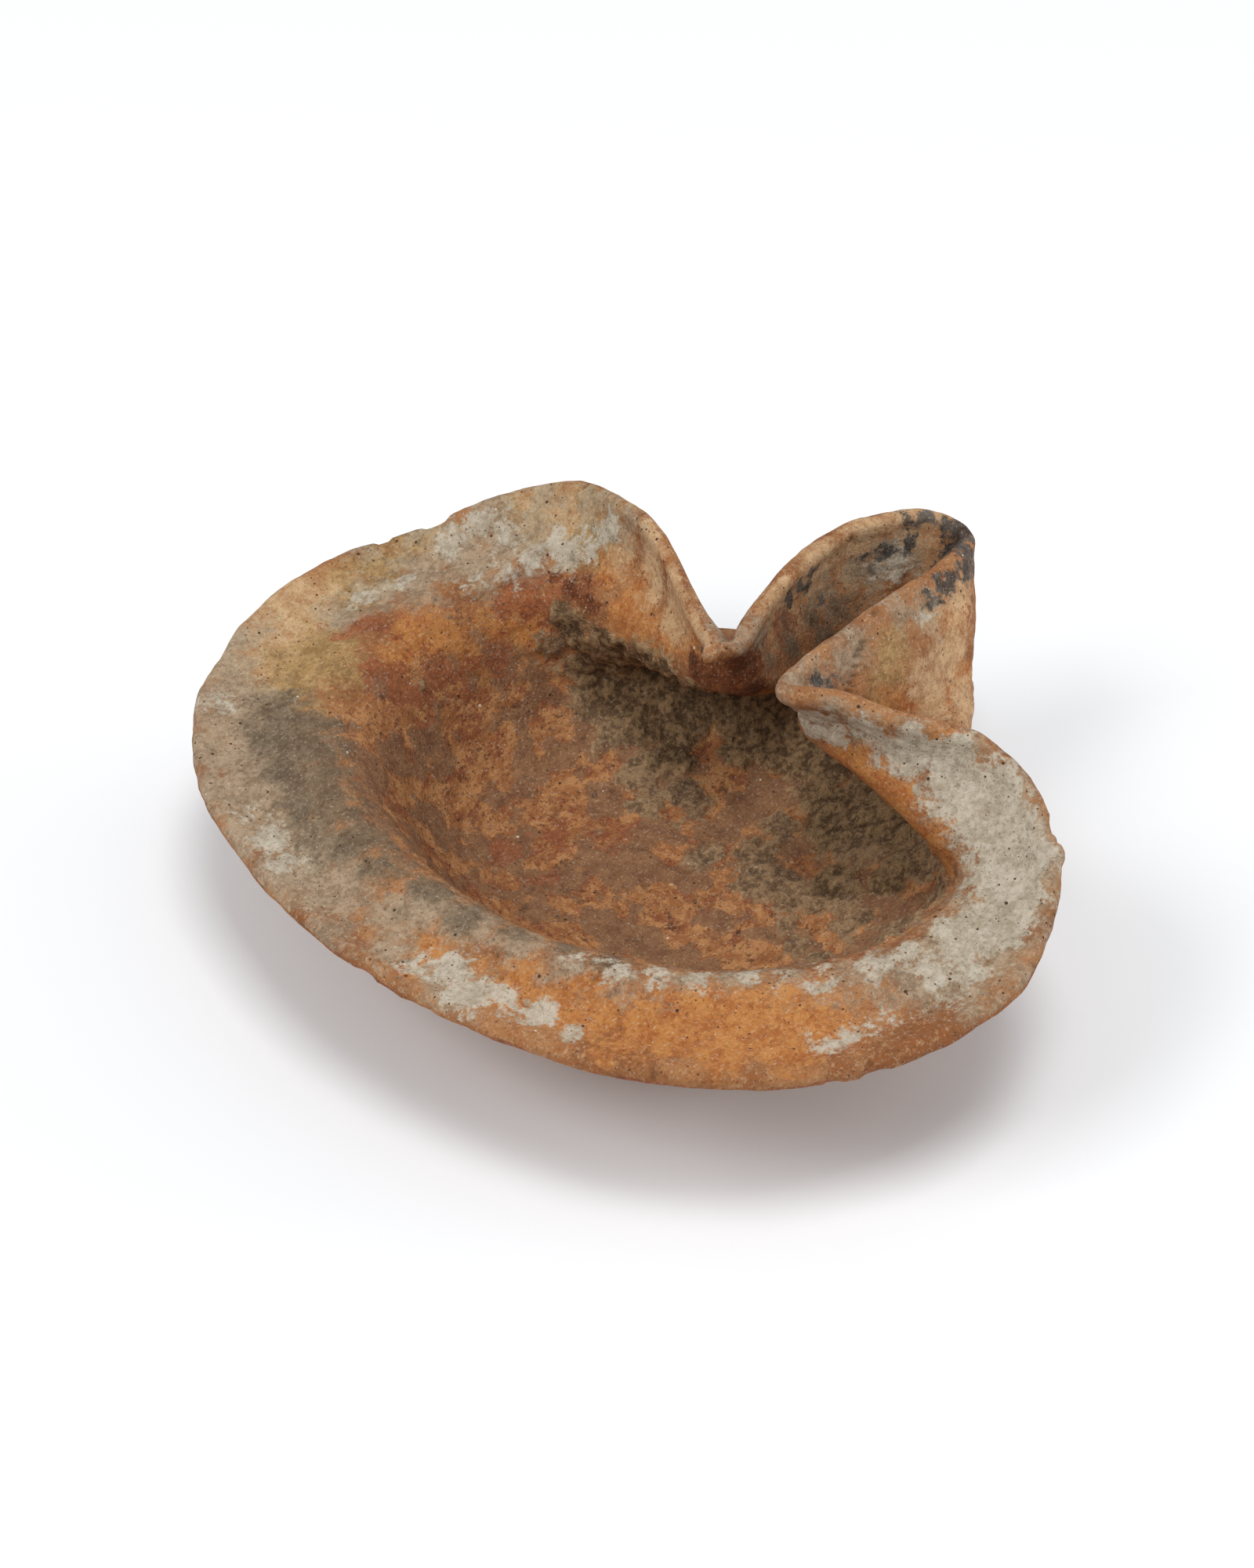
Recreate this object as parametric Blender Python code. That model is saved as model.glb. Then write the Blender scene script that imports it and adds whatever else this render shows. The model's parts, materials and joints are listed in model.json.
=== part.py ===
"""Open saucer lamp of fired earthenware, in metres, +Z up.

The potter threw a round saucer with a wide flanged rim and, while the clay was soft, folded two lobes of
the rim inward until they met: the folds leave a pinched, open nozzle for the wick. The origin is the centre
of the flat underside, +X runs along the nozzle and +Y to the left lobe.
"""
import bmesh
import bpy
import numpy as np

# Plan of the round part: half length along X and half width along Y of each ring, on the middle of the wall
RIM_HALF_LENGTH = 0.0503
RIM_HALF_WIDTH = 0.0698
BEND_HALF_LENGTH = 0.0410
BEND_HALF_WIDTH = 0.0538
WALL_HALF_LENGTH = 0.0365
WALL_HALF_WIDTH = 0.0433
FLOOR_HALF_LENGTH = 0.0200
FLOOR_HALF_WIDTH = 0.0280
BASE_HALF_LENGTH = 0.0230
BASE_HALF_WIDTH = 0.0290

# The folding drags each ring out of true: how far its centre moved (x, y) and how far it turned, in degrees
RIM_SHIFT = (-0.0029, 0.0045)
RIM_TURN = 2.3
BEND_SHIFT = (0.0025, 0.0025)
BEND_TURN = 7.7
WALL_SHIFT = (0.0061, 0.0014)
WALL_TURN = 9.8

# Heights above the ground, again on the middle of the wall
RIM_HEIGHT = 0.0260
RIM_RISE_LEFT = 0.0070
RIM_RISE_RIGHT = 0.0045
BEND_HEIGHT = 0.0270
BEND_RISE = 0.0018
WALL_HEIGHT = 0.0150

# Thickness of the clay
WALL = 0.0046
RIM_EDGE = 0.0030
FLOOR_THICKNESS = 0.0058
FLOOR_DISH = 0.0012
FLANGE_CROWN = 0.0012

# The folded front: its reach from the underside's centre to the nozzle's tip, its half width and its height
NOZZLE_REACH = 0.0705
FOLD_HALF_WIDTH = 0.0510
FOLD_HEIGHT = 0.0460

# Stations of the folded front, drawn by hand in millimetres on a front of DRAWN size and scaled to the sizes
# above. Each gives its angle on the thrown saucer and where folding brought the wall, the bend and the edge.
DRAWN = (70.5, 51.0, 46.0)
FOLDED_FRONT = (
    ("right shoulder", -76, (21, -40, 16), (19.5, -46, 30.5), (26.5, -50.5, 37)),
    ("right lobe, outer side", -66, (30, -35, 18), (20, -35.5, 32), (28, -37, 42)),
    ("right lobe, crest", -57, (36, -31, 19.5), (21, -26.5, 33), (21, -27.5, 45)),
    ("right fold, outer side", -49, (40, -26.5, 19), (22, -18.5, 33.5), (17.5, -19, 46)),
    ("right fold, its sharp nose", -42, (42.5, -22.5, 18), (23.5, -12, 33.5), (15.5, -12, 45)),
    ("right lip, at the fold", -35, (46, -19.5, 17.5), (32.5, -11, 28), (25, -9.5, 44.5)),
    ("right lip, inner half", -26, (50, -16.5, 17), (43.5, -13.5, 25), (38.5, -8.5, 43.5)),
    ("right lip, outer half", -16, (53, -13, 16), (54, -12.5, 24), (53, -7, 41.5)),
    ("right corner of the mouth", -7, (53, -8.5, 16), (59.5, -9.5, 25), (64.5, -4.5, 39)),
    ("tip of the nozzle", 0, (50, -3, 15), (61, -4.5, 25), (70.5, -1.5, 37.5)),
    ("left corner of the mouth", 10, (50, 3, 16.5), (57, 2, 27), (67, 3.5, 41)),
    ("left lip, outer half", 19, (49, 7, 17), (51, 5.5, 27.5), (59, 7.2, 42.8)),
    ("left lip, inner half", 28, (46, 13, 18.5), (40.5, 6, 28.5), (46.5, 8.4, 43.8)),
    ("left lip, at the fold", 36, (42.5, 18.5, 20), (29, 2.6, 31.5), (27, 4, 44.2)),
    ("left fold, its round nose", 41, (40, 22, 21), (24, 3, 33.5), (19.5, 2, 43.5)),
    ("left fold, outer side", 47, (37, 26, 20), (21.5, 8, 33.5), (19.5, 8, 44)),
    ("left lobe, inner side", 57, (32, 32, 18), (24, 21, 32), (28.5, 24.5, 46)),
    ("left lobe, crest", 66, (27, 37, 16), (25, 33, 31), (32.5, 36.5, 45)),
    ("left shoulder", 76, (20, 41, 15), (23, 46, 30), (35, 51, 40)),
)

# The round part between the shoulders, in degrees round the thrown saucer, and how far each ring runs round
# its own ellipse over that stretch, because the folding pulled the wall forward less than the rim
BACK_FROM = 90
BACK_TO = 270
BACK_STATIONS = 11
RIM_RUN = (60, 285)
BEND_RUN = (68, 272)
WALL_RUN = (77, 264)

# How finely the surface is divided
FOLD_STEP = 2.2
BACK_STEP = 5.0
FOLD_EDGE = 76
FLOOR_ROWS = 3
BODY_ROWS = 17
FOOT_ROWS = 5
ROLL_STEPS = (45, 90, 135)

# Inside a tight fold the clay is squeezed thinner, until the skin keeps this share of the middle's area
SQUEEZE_LIMIT = 0.4
SQUEEZE_STEP = 0.15
SQUEEZE_ROUNDS = 60

# Where the floor, wall, bend, mid flange and edge lie on the way across the surface, from 0 to 1
ACROSS = (0.0, 0.34, 0.66, 0.83, 1.0)
TAPER_FROM = 0.5


def natural_moments(knots, points, first_slope):
    """Second derivatives of the smooth curve through points, with a given slope at its first knot."""
    gaps = np.diff(knots)
    count = len(knots)
    matrix = np.zeros((count, count))
    right = np.zeros_like(points)
    matrix[0, :2] = 2 * gaps[0], gaps[0]
    right[0] = 6 * ((points[1] - points[0]) / gaps[0] - first_slope)
    matrix[-1, -1] = 1
    for i in range(1, count - 1):
        matrix[i, i - 1:i + 2] = gaps[i - 1], 2 * (gaps[i - 1] + gaps[i]), gaps[i]
        right[i] = 6 * ((points[i + 1] - points[i]) / gaps[i] - (points[i] - points[i - 1]) / gaps[i - 1])
    return np.linalg.solve(matrix, right.reshape(count, -1)).reshape(points.shape)


def closed_moments(knots, points, period):
    """Second derivatives of the smooth closed curve through points."""
    gaps = np.diff(np.append(knots, knots[0] + period))
    count = len(knots)
    matrix = np.zeros((count, count))
    right = np.zeros_like(points)
    for i in range(count):
        after = (i + 1) % count
        matrix[i, i - 1] += gaps[i - 1]
        matrix[i, i] += 2 * (gaps[i - 1] + gaps[i])
        matrix[i, after] += gaps[i]
        right[i] = 6 * ((points[after] - points[i]) / gaps[i] - (points[i] - points[i - 1]) / gaps[i - 1])
    return np.linalg.solve(matrix, right)


def cubic(low, high, low_moment, high_moment, gap, share):
    """Points on the cubic between low and high, at a share of the gap between their knots."""
    rest = 1 - share
    bend = (rest ** 3 - rest) * low_moment + (share ** 3 - share) * high_moment
    return rest * low + share * high + bend * gap ** 2 / 6


def curve_across(knots, points, first_slope, at):
    """The smooth curve through points[k] at knots[k], read at each value of at."""
    moments = natural_moments(knots, points, first_slope)
    rows = []
    for value in at:
        k = min(np.searchsorted(knots, value, side="right") - 1, len(knots) - 2)
        gap = knots[k + 1] - knots[k]
        share = (value - knots[k]) / gap
        rows.append(cubic(points[k], points[k + 1], moments[k], moments[k + 1], gap, share))
    return np.array(rows)


def curve_round(knots, points, at):
    """The smooth closed curve through points at knots (degrees), read at each angle of at."""
    moments = closed_moments(knots, points, 360)
    turned = (at - knots[0]) % 360 + knots[0]
    k = np.searchsorted(knots, turned, side="right") - 1
    after = (k + 1) % len(knots)
    gap = (np.append(knots, knots[0] + 360)[k + 1] - knots[k])[:, None]
    share = (turned - knots[k])[:, None] / gap
    return cubic(points[k], points[after], moments[k], moments[after], gap, share)


def turned_ellipse(half_length, half_width, shift, turn, run):
    """Points along part of an ellipse that is shifted and turned in plan; run is its first and last angle."""
    angle = np.radians(np.linspace(*run, BACK_STATIONS))
    turn = np.radians(turn)
    along = half_length * np.cos(angle)
    across = half_width * np.sin(angle)
    x = shift[0] + along * np.cos(turn) - across * np.sin(turn)
    y = shift[1] + along * np.sin(turn) + across * np.cos(turn)
    return x, y


def back_height(level, rise_left, rise_right):
    """Height of a ring over the round part: level behind, rising like a cube toward the two shoulders."""
    share = np.linspace(-1, 1, BACK_STATIONS)
    return level + np.where(share < 0, rise_left, rise_right) * np.abs(share) ** 3


def stations():
    """Angles of all stations on the thrown saucer, and the wall, bend and edge points there."""
    scale = np.array((NOZZLE_REACH, FOLD_HALF_WIDTH, FOLD_HEIGHT)) / np.array(DRAWN)
    front = [np.array([row[ring] for row in FOLDED_FRONT]) * scale for ring in (2, 3, 4)]
    back = [
        (*turned_ellipse(WALL_HALF_LENGTH, WALL_HALF_WIDTH, WALL_SHIFT, WALL_TURN, WALL_RUN),
         np.full(BACK_STATIONS, WALL_HEIGHT)),
        (*turned_ellipse(BEND_HALF_LENGTH, BEND_HALF_WIDTH, BEND_SHIFT, BEND_TURN, BEND_RUN),
         back_height(BEND_HEIGHT, BEND_RISE, BEND_RISE)),
        (*turned_ellipse(RIM_HALF_LENGTH, RIM_HALF_WIDTH, RIM_SHIFT, RIM_TURN, RIM_RUN),
         back_height(RIM_HEIGHT, RIM_RISE_LEFT, RIM_RISE_RIGHT)),
    ]
    angles = np.array([row[1] for row in FOLDED_FRONT] + list(np.linspace(BACK_FROM, BACK_TO, BACK_STATIONS)))
    rings = [np.concatenate([f, np.array(b).T]) for f, b in zip(front, back)]
    return angles.astype(float), rings


def plan_ellipse(half_length, half_width, toward, height):
    """A level ellipse about the origin, with one point in the direction of each point of toward."""
    angle = np.arctan2(toward[:, 1], toward[:, 0])
    level = np.full(len(toward), height)
    return np.stack([half_length * np.cos(angle), half_width * np.sin(angle), level], axis=1)


def middle_surface():
    """Grid of points on the middle of the wall: rows run from the floor to the rim, columns go round."""
    knots, (wall, bend, edge) = stations()
    floor_level = FLOOR_THICKNESS - WALL / 2
    floor = plan_ellipse(FLOOR_HALF_LENGTH, FLOOR_HALF_WIDTH, wall, floor_level + FLOOR_DISH)
    outward = np.cross(edge - bend, np.roll(bend, -1, axis=0) - np.roll(bend, 1, axis=0))
    outward /= np.linalg.norm(outward, axis=1)[:, None]
    flange = (bend + edge) / 2 - outward * FLANGE_CROWN

    folded = np.linspace(-FOLD_EDGE, FOLD_EDGE, int(2 * FOLD_EDGE / FOLD_STEP), endpoint=False)
    back_columns = int((360 - 2 * FOLD_EDGE) / BACK_STEP)
    round_back = np.linspace(FOLD_EDGE, 360 - FOLD_EDGE, back_columns, endpoint=False)
    at = np.concatenate([folded, round_back])
    rings = np.stack([curve_round(knots, ring, at) for ring in (floor, wall, bend, flange, edge)])

    across = np.array(ACROSS)
    centre = np.array((0, 0, floor_level))
    leaving = (rings[1] - rings[0]) * (1, 1, 0) * 1.25 / across[1]
    leaving[:, 2] = 2 * FLOOR_DISH / across[1]
    rows = np.linspace(0, 1, BODY_ROWS + 1)
    body = curve_across(across, rings, leaving, rows)
    share = (np.arange(1, FLOOR_ROWS) / FLOOR_ROWS)[:, None, None]
    dish = centre + (rings[0] - centre) * np.concatenate([share, share, share ** 2], axis=2)
    return np.concatenate([dish, body]), np.concatenate([np.zeros(FLOOR_ROWS - 1), rows])


def normals_of(grid):
    """Unit normals of the grid, pointing into the bowl and up."""
    around = np.roll(grid, -1, axis=1) - np.roll(grid, 1, axis=1)
    across = np.gradient(grid, axis=0)
    normals = np.cross(across, around)
    normals *= np.sign(normals[0, :, 2].mean())
    return normals / np.linalg.norm(normals, axis=2)[..., None]


def facets(grid):
    """Area vectors of the grid's quads."""
    low, high = grid[:-1], grid[1:]
    return np.cross(np.roll(high, -1, axis=1) - low, high - np.roll(low, -1, axis=1))


def soften(field):
    """The field averaged with its neighbours, round the lamp and across the wall."""
    field = (np.roll(field, 1, axis=1) + 2 * field + np.roll(field, -1, axis=1)) / 4
    padded = np.concatenate([field[:1], field, field[-1:]])
    return (padded[:-2] + 2 * field + padded[2:]) / 4


def squeezed(grid, normals, half):
    """The grid moved by half along its normals, less where a tight fold would turn the skin inside out."""
    flat = facets(grid)
    area = np.sum(flat * flat, axis=2)
    depth = np.broadcast_to(half, grid.shape[:2] + (1,)).copy()
    for _ in range(SQUEEZE_ROUNDS):
        kept = np.sum(facets(grid + normals * depth) * flat, axis=2) / area
        tight = (kept < SQUEEZE_LIMIT).astype(float)
        if not tight.any():
            break
        corners = np.zeros(grid.shape[:2])
        corners[:-1] += tight
        corners[1:] += tight
        corners = np.clip(corners + np.roll(corners, 1, axis=1), 0, 1)
        depth *= 1 - SQUEEZE_STEP * soften(corners)[..., None]
    return grid + normals * depth


def lamp_rings():
    """Closed rings of points over the whole skin: up the inside, over the rim and down to the underside."""
    grid, rows = middle_surface()
    normals = normals_of(grid)
    taper = np.clip((rows - TAPER_FROM) / (1 - TAPER_FROM), 0, 1)
    half = ((WALL + (RIM_EDGE - WALL) * taper) / 2)[:, None, None]
    inside = squeezed(grid, normals, half)
    outside = squeezed(grid, -normals, half)

    lip = grid[-1] - grid[-2]
    lip /= np.linalg.norm(lip, axis=1)[:, None]
    roll = []
    for angle in np.radians(ROLL_STEPS):
        roll.append(grid[-1] + RIM_EDGE / 2 * (lip * np.sin(angle) + normals[-1] * np.cos(angle)))

    foot_row = FLOOR_ROWS - 1 + int(round(ACROSS[1] * BODY_ROWS))
    start = outside[foot_row]
    leaving = (start - outside[foot_row + 1]) * FOOT_ROWS
    foot = plan_ellipse(BASE_HALF_LENGTH, BASE_HALF_WIDTH, grid[foot_row], 0.0)
    arriving = (foot - start) * (1.4, 1.4, 0.6)
    underside = []
    for s in np.linspace(0, 1, FOOT_ROWS + 1)[1:]:
        underside.append((2 * s ** 3 - 3 * s ** 2 + 1) * start + (s ** 3 - 2 * s ** 2 + s) * leaving
                         + (3 * s ** 2 - 2 * s ** 3) * foot + (s ** 3 - s ** 2) * arriving)
    return [*inside, *roll, *outside[:foot_row - 1:-1], *underside]


def earthenware():
    """Orange fired clay, dull and rough."""
    material = bpy.data.materials.new("fired earthenware")
    material.use_nodes = True
    shader = material.node_tree.nodes["Principled BSDF"]
    shader.inputs["Base Color"].default_value = (0.46, 0.17, 0.05, 1.0)
    shader.inputs["Roughness"].default_value = 0.9
    shader.inputs["Metallic"].default_value = 0.0
    return material


def build_lamp():
    """One closed body: the rings joined all round, closed by a level face on the floor and on the underside."""
    bm = bmesh.new()
    rings = [[bm.verts.new(point) for point in ring] for ring in lamp_rings()]
    for ring, following in zip(rings[:-1], rings[1:]):
        for i in range(len(ring)):
            bm.faces.new((ring[i - 1], ring[i], following[i], following[i - 1]))
    bm.faces.new(rings[0])
    bm.faces.new(rings[-1])
    bmesh.ops.triangulate(bm, faces=bm.faces, quad_method="SHORT_EDGE")
    bmesh.ops.recalc_face_normals(bm, faces=bm.faces)
    mesh = bpy.data.meshes.new("lamp")
    bm.to_mesh(mesh)
    bm.free()
    mesh.shade_smooth()
    mesh.materials.append(earthenware())
    lamp = bpy.data.objects.new("lamp", mesh)
    bpy.context.scene.collection.objects.link(lamp)
    return lamp


for leftover in list(bpy.data.objects):
    bpy.data.objects.remove(leftover, do_unlink=True)
build_lamp()
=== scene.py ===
# %% [markdown]
# # An open saucer lamp of fired earthenware
#
# The real lamp began as a saucer thrown on the wheel, with a bowl and a wide flanged rim. While the clay was
# soft, two lobes of the rim were folded inward until they met, which leaves a pinched, open nozzle for the
# wick. After firing it burned oil, so its lips are sooty, and then it lay in the ground, which left pale lime
# and brown crusts on it. This notebook dresses the plain solid of the lamp with all of that.

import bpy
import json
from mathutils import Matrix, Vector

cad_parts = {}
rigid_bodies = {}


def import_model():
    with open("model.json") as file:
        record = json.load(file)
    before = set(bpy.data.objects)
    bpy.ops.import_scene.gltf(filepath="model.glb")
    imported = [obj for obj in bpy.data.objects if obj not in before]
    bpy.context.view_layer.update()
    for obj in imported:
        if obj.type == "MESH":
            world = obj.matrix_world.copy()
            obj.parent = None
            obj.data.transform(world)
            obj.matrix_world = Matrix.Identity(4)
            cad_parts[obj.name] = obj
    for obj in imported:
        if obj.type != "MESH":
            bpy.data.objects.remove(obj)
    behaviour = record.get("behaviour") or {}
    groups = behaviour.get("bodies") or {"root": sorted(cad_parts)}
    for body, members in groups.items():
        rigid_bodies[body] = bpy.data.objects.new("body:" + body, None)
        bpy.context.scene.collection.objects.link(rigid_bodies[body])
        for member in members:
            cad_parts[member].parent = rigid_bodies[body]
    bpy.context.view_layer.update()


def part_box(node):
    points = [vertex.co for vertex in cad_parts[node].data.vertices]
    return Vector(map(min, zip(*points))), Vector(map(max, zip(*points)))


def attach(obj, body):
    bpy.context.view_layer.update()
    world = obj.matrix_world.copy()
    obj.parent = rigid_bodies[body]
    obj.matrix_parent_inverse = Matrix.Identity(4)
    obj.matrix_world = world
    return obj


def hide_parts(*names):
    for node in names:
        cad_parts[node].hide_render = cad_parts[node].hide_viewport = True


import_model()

# %% [markdown]
# ## Tools for the work
#
# Blender's own module builds meshes, materials and lights. The whole shell is worked out as arrays, because a
# sum over 87,000 points at once is quick where a loop over them is slow. A tree of faces finds where the
# shell would cross itself.

# %% Libraries
import json
import math

import bpy
import numpy as np
from mathutils import Vector, noise
from mathutils.bvhtree import BVHTree

# %% [markdown]
# ## The sizes of the lamp
#
# The saucer is described by rings on the middle of its wall: floor, wall, bend and edge. Over the back each
# ring is an ellipse, a little shifted and turned because the folding dragged it. The same named sizes drive
# the plain solid, so both have one shape. All lengths are in metres.

# %% Sizes of the thrown saucer
RIM_HALF_LENGTH = 0.0503
RIM_HALF_WIDTH = 0.0698
BEND_HALF_LENGTH = 0.0410
BEND_HALF_WIDTH = 0.0538
WALL_HALF_LENGTH = 0.0365
WALL_HALF_WIDTH = 0.0433
FLOOR_HALF_LENGTH = 0.0200
FLOOR_HALF_WIDTH = 0.0280
BASE_HALF_LENGTH = 0.0230
BASE_HALF_WIDTH = 0.0290

RIM_SHIFT = (-0.0029, 0.0045)
RIM_TURN = 2.3
BEND_SHIFT = (0.0025, 0.0025)
BEND_TURN = 7.7
WALL_SHIFT = (0.0061, 0.0014)
WALL_TURN = 9.8

RIM_HEIGHT = 0.0260
RIM_RISE_LEFT = 0.0070
RIM_RISE_RIGHT = 0.0045
BEND_HEIGHT = 0.0270
BEND_RISE = 0.0018
WALL_HEIGHT = 0.0150

WALL = 0.0046
RIM_EDGE = 0.0030
FLOOR_THICKNESS = 0.0058
FLOOR_DISH = 0.0012
FLANGE_CROWN = 0.0012
print(f"saucer {2000 * RIM_HALF_WIDTH:.0f} mm wide, clay {1000 * WALL:.1f} mm thick")

# %% [markdown]
# ## The folded front
#
# A potter thinks of the fold as a few places that the fingers moved: shoulder, lobe, fold, lip, tip. So the
# front is a short list of those places. Each says where the wall, the bend and the edge came to lie, in
# millimetres, and a smooth curve joins them. Sculpting would also give such a form, but not to a measure.

# %% Stations of the fold
NOZZLE_REACH = 0.0705
FOLD_HALF_WIDTH = 0.0510
FOLD_HEIGHT = 0.0460
DRAWN = (70.5, 51.0, 46.0)
FOLDED_FRONT = (
    ("right shoulder", -76, (21, -40, 16), (19.5, -46, 30.5), (26.5, -50.5, 37)),
    ("right lobe, outer side", -66, (30, -35, 18), (20, -35.5, 32), (28, -37, 42)),
    ("right lobe, crest", -57, (36, -31, 19.5), (21, -26.5, 33), (21, -27.5, 45)),
    ("right fold, outer side", -49, (40, -26.5, 19), (22, -18.5, 33.5), (17.5, -19, 46)),
    ("right fold, its sharp nose", -42, (42.5, -22.5, 18), (23.5, -12, 33.5), (15.5, -12, 45)),
    ("right lip, at the fold", -35, (46, -19.5, 17.5), (32.5, -11, 28), (25, -9.5, 44.5)),
    ("right lip, inner half", -26, (50, -16.5, 17), (43.5, -13.5, 25), (38.5, -8.5, 43.5)),
    ("right lip, outer half", -16, (53, -13, 16), (54, -12.5, 24), (53, -7, 41.5)),
    ("right corner of the mouth", -7, (53, -8.5, 16), (59.5, -9.5, 25), (64.5, -4.5, 39)),
    ("tip of the nozzle", 0, (50, -3, 15), (61, -4.5, 25), (70.5, -1.5, 37.5)),
    ("left corner of the mouth", 10, (50, 3, 16.5), (57, 2, 27), (67, 3.5, 41)),
    ("left lip, outer half", 19, (49, 7, 17), (51, 5.5, 27.5), (59, 7.2, 42.8)),
    ("left lip, inner half", 28, (46, 13, 18.5), (40.5, 6, 28.5), (46.5, 8.4, 43.8)),
    ("left lip, at the fold", 36, (42.5, 18.5, 20), (29, 2.6, 31.5), (27, 4, 44.2)),
    ("left fold, its round nose", 41, (40, 22, 21), (24, 3, 33.5), (19.5, 2, 43.5)),
    ("left fold, outer side", 47, (37, 26, 20), (21.5, 8, 33.5), (19.5, 8, 44)),
    ("left lobe, inner side", 57, (32, 32, 18), (24, 21, 32), (28.5, 24.5, 46)),
    ("left lobe, crest", 66, (27, 37, 16), (25, 33, 31), (32.5, 36.5, 45)),
    ("left shoulder", 76, (20, 41, 15), (23, 46, 30), (35, 51, 40)),
)
BACK_FROM = 90
BACK_TO = 270
BACK_STATIONS = 11
RIM_RUN = (60, 285)
BEND_RUN = (68, 272)
WALL_RUN = (77, 264)
ACROSS = (0.0, 0.34, 0.66, 0.83, 1.0)
print(len(FOLDED_FRONT), "stations over the folds and", BACK_STATIONS, "over the round back")

# %% [markdown]
# ## Smooth curves through the stations
#
# A cubic spline passes through every station and bends as little as it can, much like clay between two
# fingers. One kind runs round the lamp and closes on itself. The other runs across the wall, from floor to
# rim.

# %% Cubic splines
def natural_moments(knots, points, first_slope):
    """Second derivatives of the smooth curve through points, with a given slope at its first knot."""
    gaps = np.diff(knots)
    count = len(knots)
    matrix = np.zeros((count, count))
    right = np.zeros_like(points)
    matrix[0, :2] = 2 * gaps[0], gaps[0]
    right[0] = 6 * ((points[1] - points[0]) / gaps[0] - first_slope)
    matrix[-1, -1] = 1
    for i in range(1, count - 1):
        matrix[i, i - 1:i + 2] = gaps[i - 1], 2 * (gaps[i - 1] + gaps[i]), gaps[i]
        right[i] = 6 * ((points[i + 1] - points[i]) / gaps[i] - (points[i] - points[i - 1]) / gaps[i - 1])
    return np.linalg.solve(matrix, right.reshape(count, -1)).reshape(points.shape)


def closed_moments(knots, points, period):
    """Second derivatives of the smooth closed curve through points."""
    gaps = np.diff(np.append(knots, knots[0] + period))
    count = len(knots)
    matrix = np.zeros((count, count))
    right = np.zeros_like(points)
    for i in range(count):
        after = (i + 1) % count
        matrix[i, i - 1] += gaps[i - 1]
        matrix[i, i] += 2 * (gaps[i - 1] + gaps[i])
        matrix[i, after] += gaps[i]
        right[i] = 6 * ((points[after] - points[i]) / gaps[i] - (points[i] - points[i - 1]) / gaps[i - 1])
    return np.linalg.solve(matrix, right)


def cubic(low, high, low_moment, high_moment, gap, share):
    """Points on the cubic between low and high, at a share of the gap between their knots."""
    rest = 1 - share
    bend = (rest ** 3 - rest) * low_moment + (share ** 3 - share) * high_moment
    return rest * low + share * high + bend * gap ** 2 / 6


def curve_across(knots, points, first_slope, at):
    """The smooth curve through points[k] at knots[k], read at each value of at."""
    moments = natural_moments(knots, points, first_slope)
    rows = []
    for value in at:
        k = min(np.searchsorted(knots, value, side="right") - 1, len(knots) - 2)
        gap = knots[k + 1] - knots[k]
        share = (value - knots[k]) / gap
        rows.append(cubic(points[k], points[k + 1], moments[k], moments[k + 1], gap, share))
    return np.array(rows)


def curve_round(knots, points, at):
    """The smooth closed curve through points at knots (degrees), read at each angle of at."""
    moments = closed_moments(knots, points, 360)
    turned = (at - knots[0]) % 360 + knots[0]
    k = np.searchsorted(knots, turned, side="right") - 1
    after = (k + 1) % len(knots)
    gap = (np.append(knots, knots[0] + 360)[k + 1] - knots[k])[:, None]
    share = (turned - knots[k])[:, None] / gap
    return cubic(points[k], points[after], moments[k], moments[after], gap, share)


# %% [markdown]
# ## The stations, put together
#
# The folded front comes from the list above and the round back from ellipses. Each ring rises toward the two
# shoulders, where the rim was pulled up. Together they are three closed strings of stations, for wall, bend
# and edge, and the curves pass through them.

# %% Rings of the lamp
def turned_ellipse(half_length, half_width, shift, turn, run):
    """Points along part of an ellipse that is shifted and turned in plan; run is its first and last angle."""
    angle = np.radians(np.linspace(*run, BACK_STATIONS))
    turn = np.radians(turn)
    along = half_length * np.cos(angle)
    across = half_width * np.sin(angle)
    x = shift[0] + along * np.cos(turn) - across * np.sin(turn)
    y = shift[1] + along * np.sin(turn) + across * np.cos(turn)
    return x, y


def back_height(level, rise_left, rise_right):
    """Height of a ring over the round part: level behind, rising like a cube toward the two shoulders."""
    share = np.linspace(-1, 1, BACK_STATIONS)
    return level + np.where(share < 0, rise_left, rise_right) * np.abs(share) ** 3


def plan_ellipse(half_length, half_width, toward, height):
    """A level ellipse about the origin, with one point in the direction of each point of toward."""
    angle = np.arctan2(toward[:, 1], toward[:, 0])
    level = np.full(len(toward), height)
    return np.stack([half_length * np.cos(angle), half_width * np.sin(angle), level], axis=1)


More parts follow.
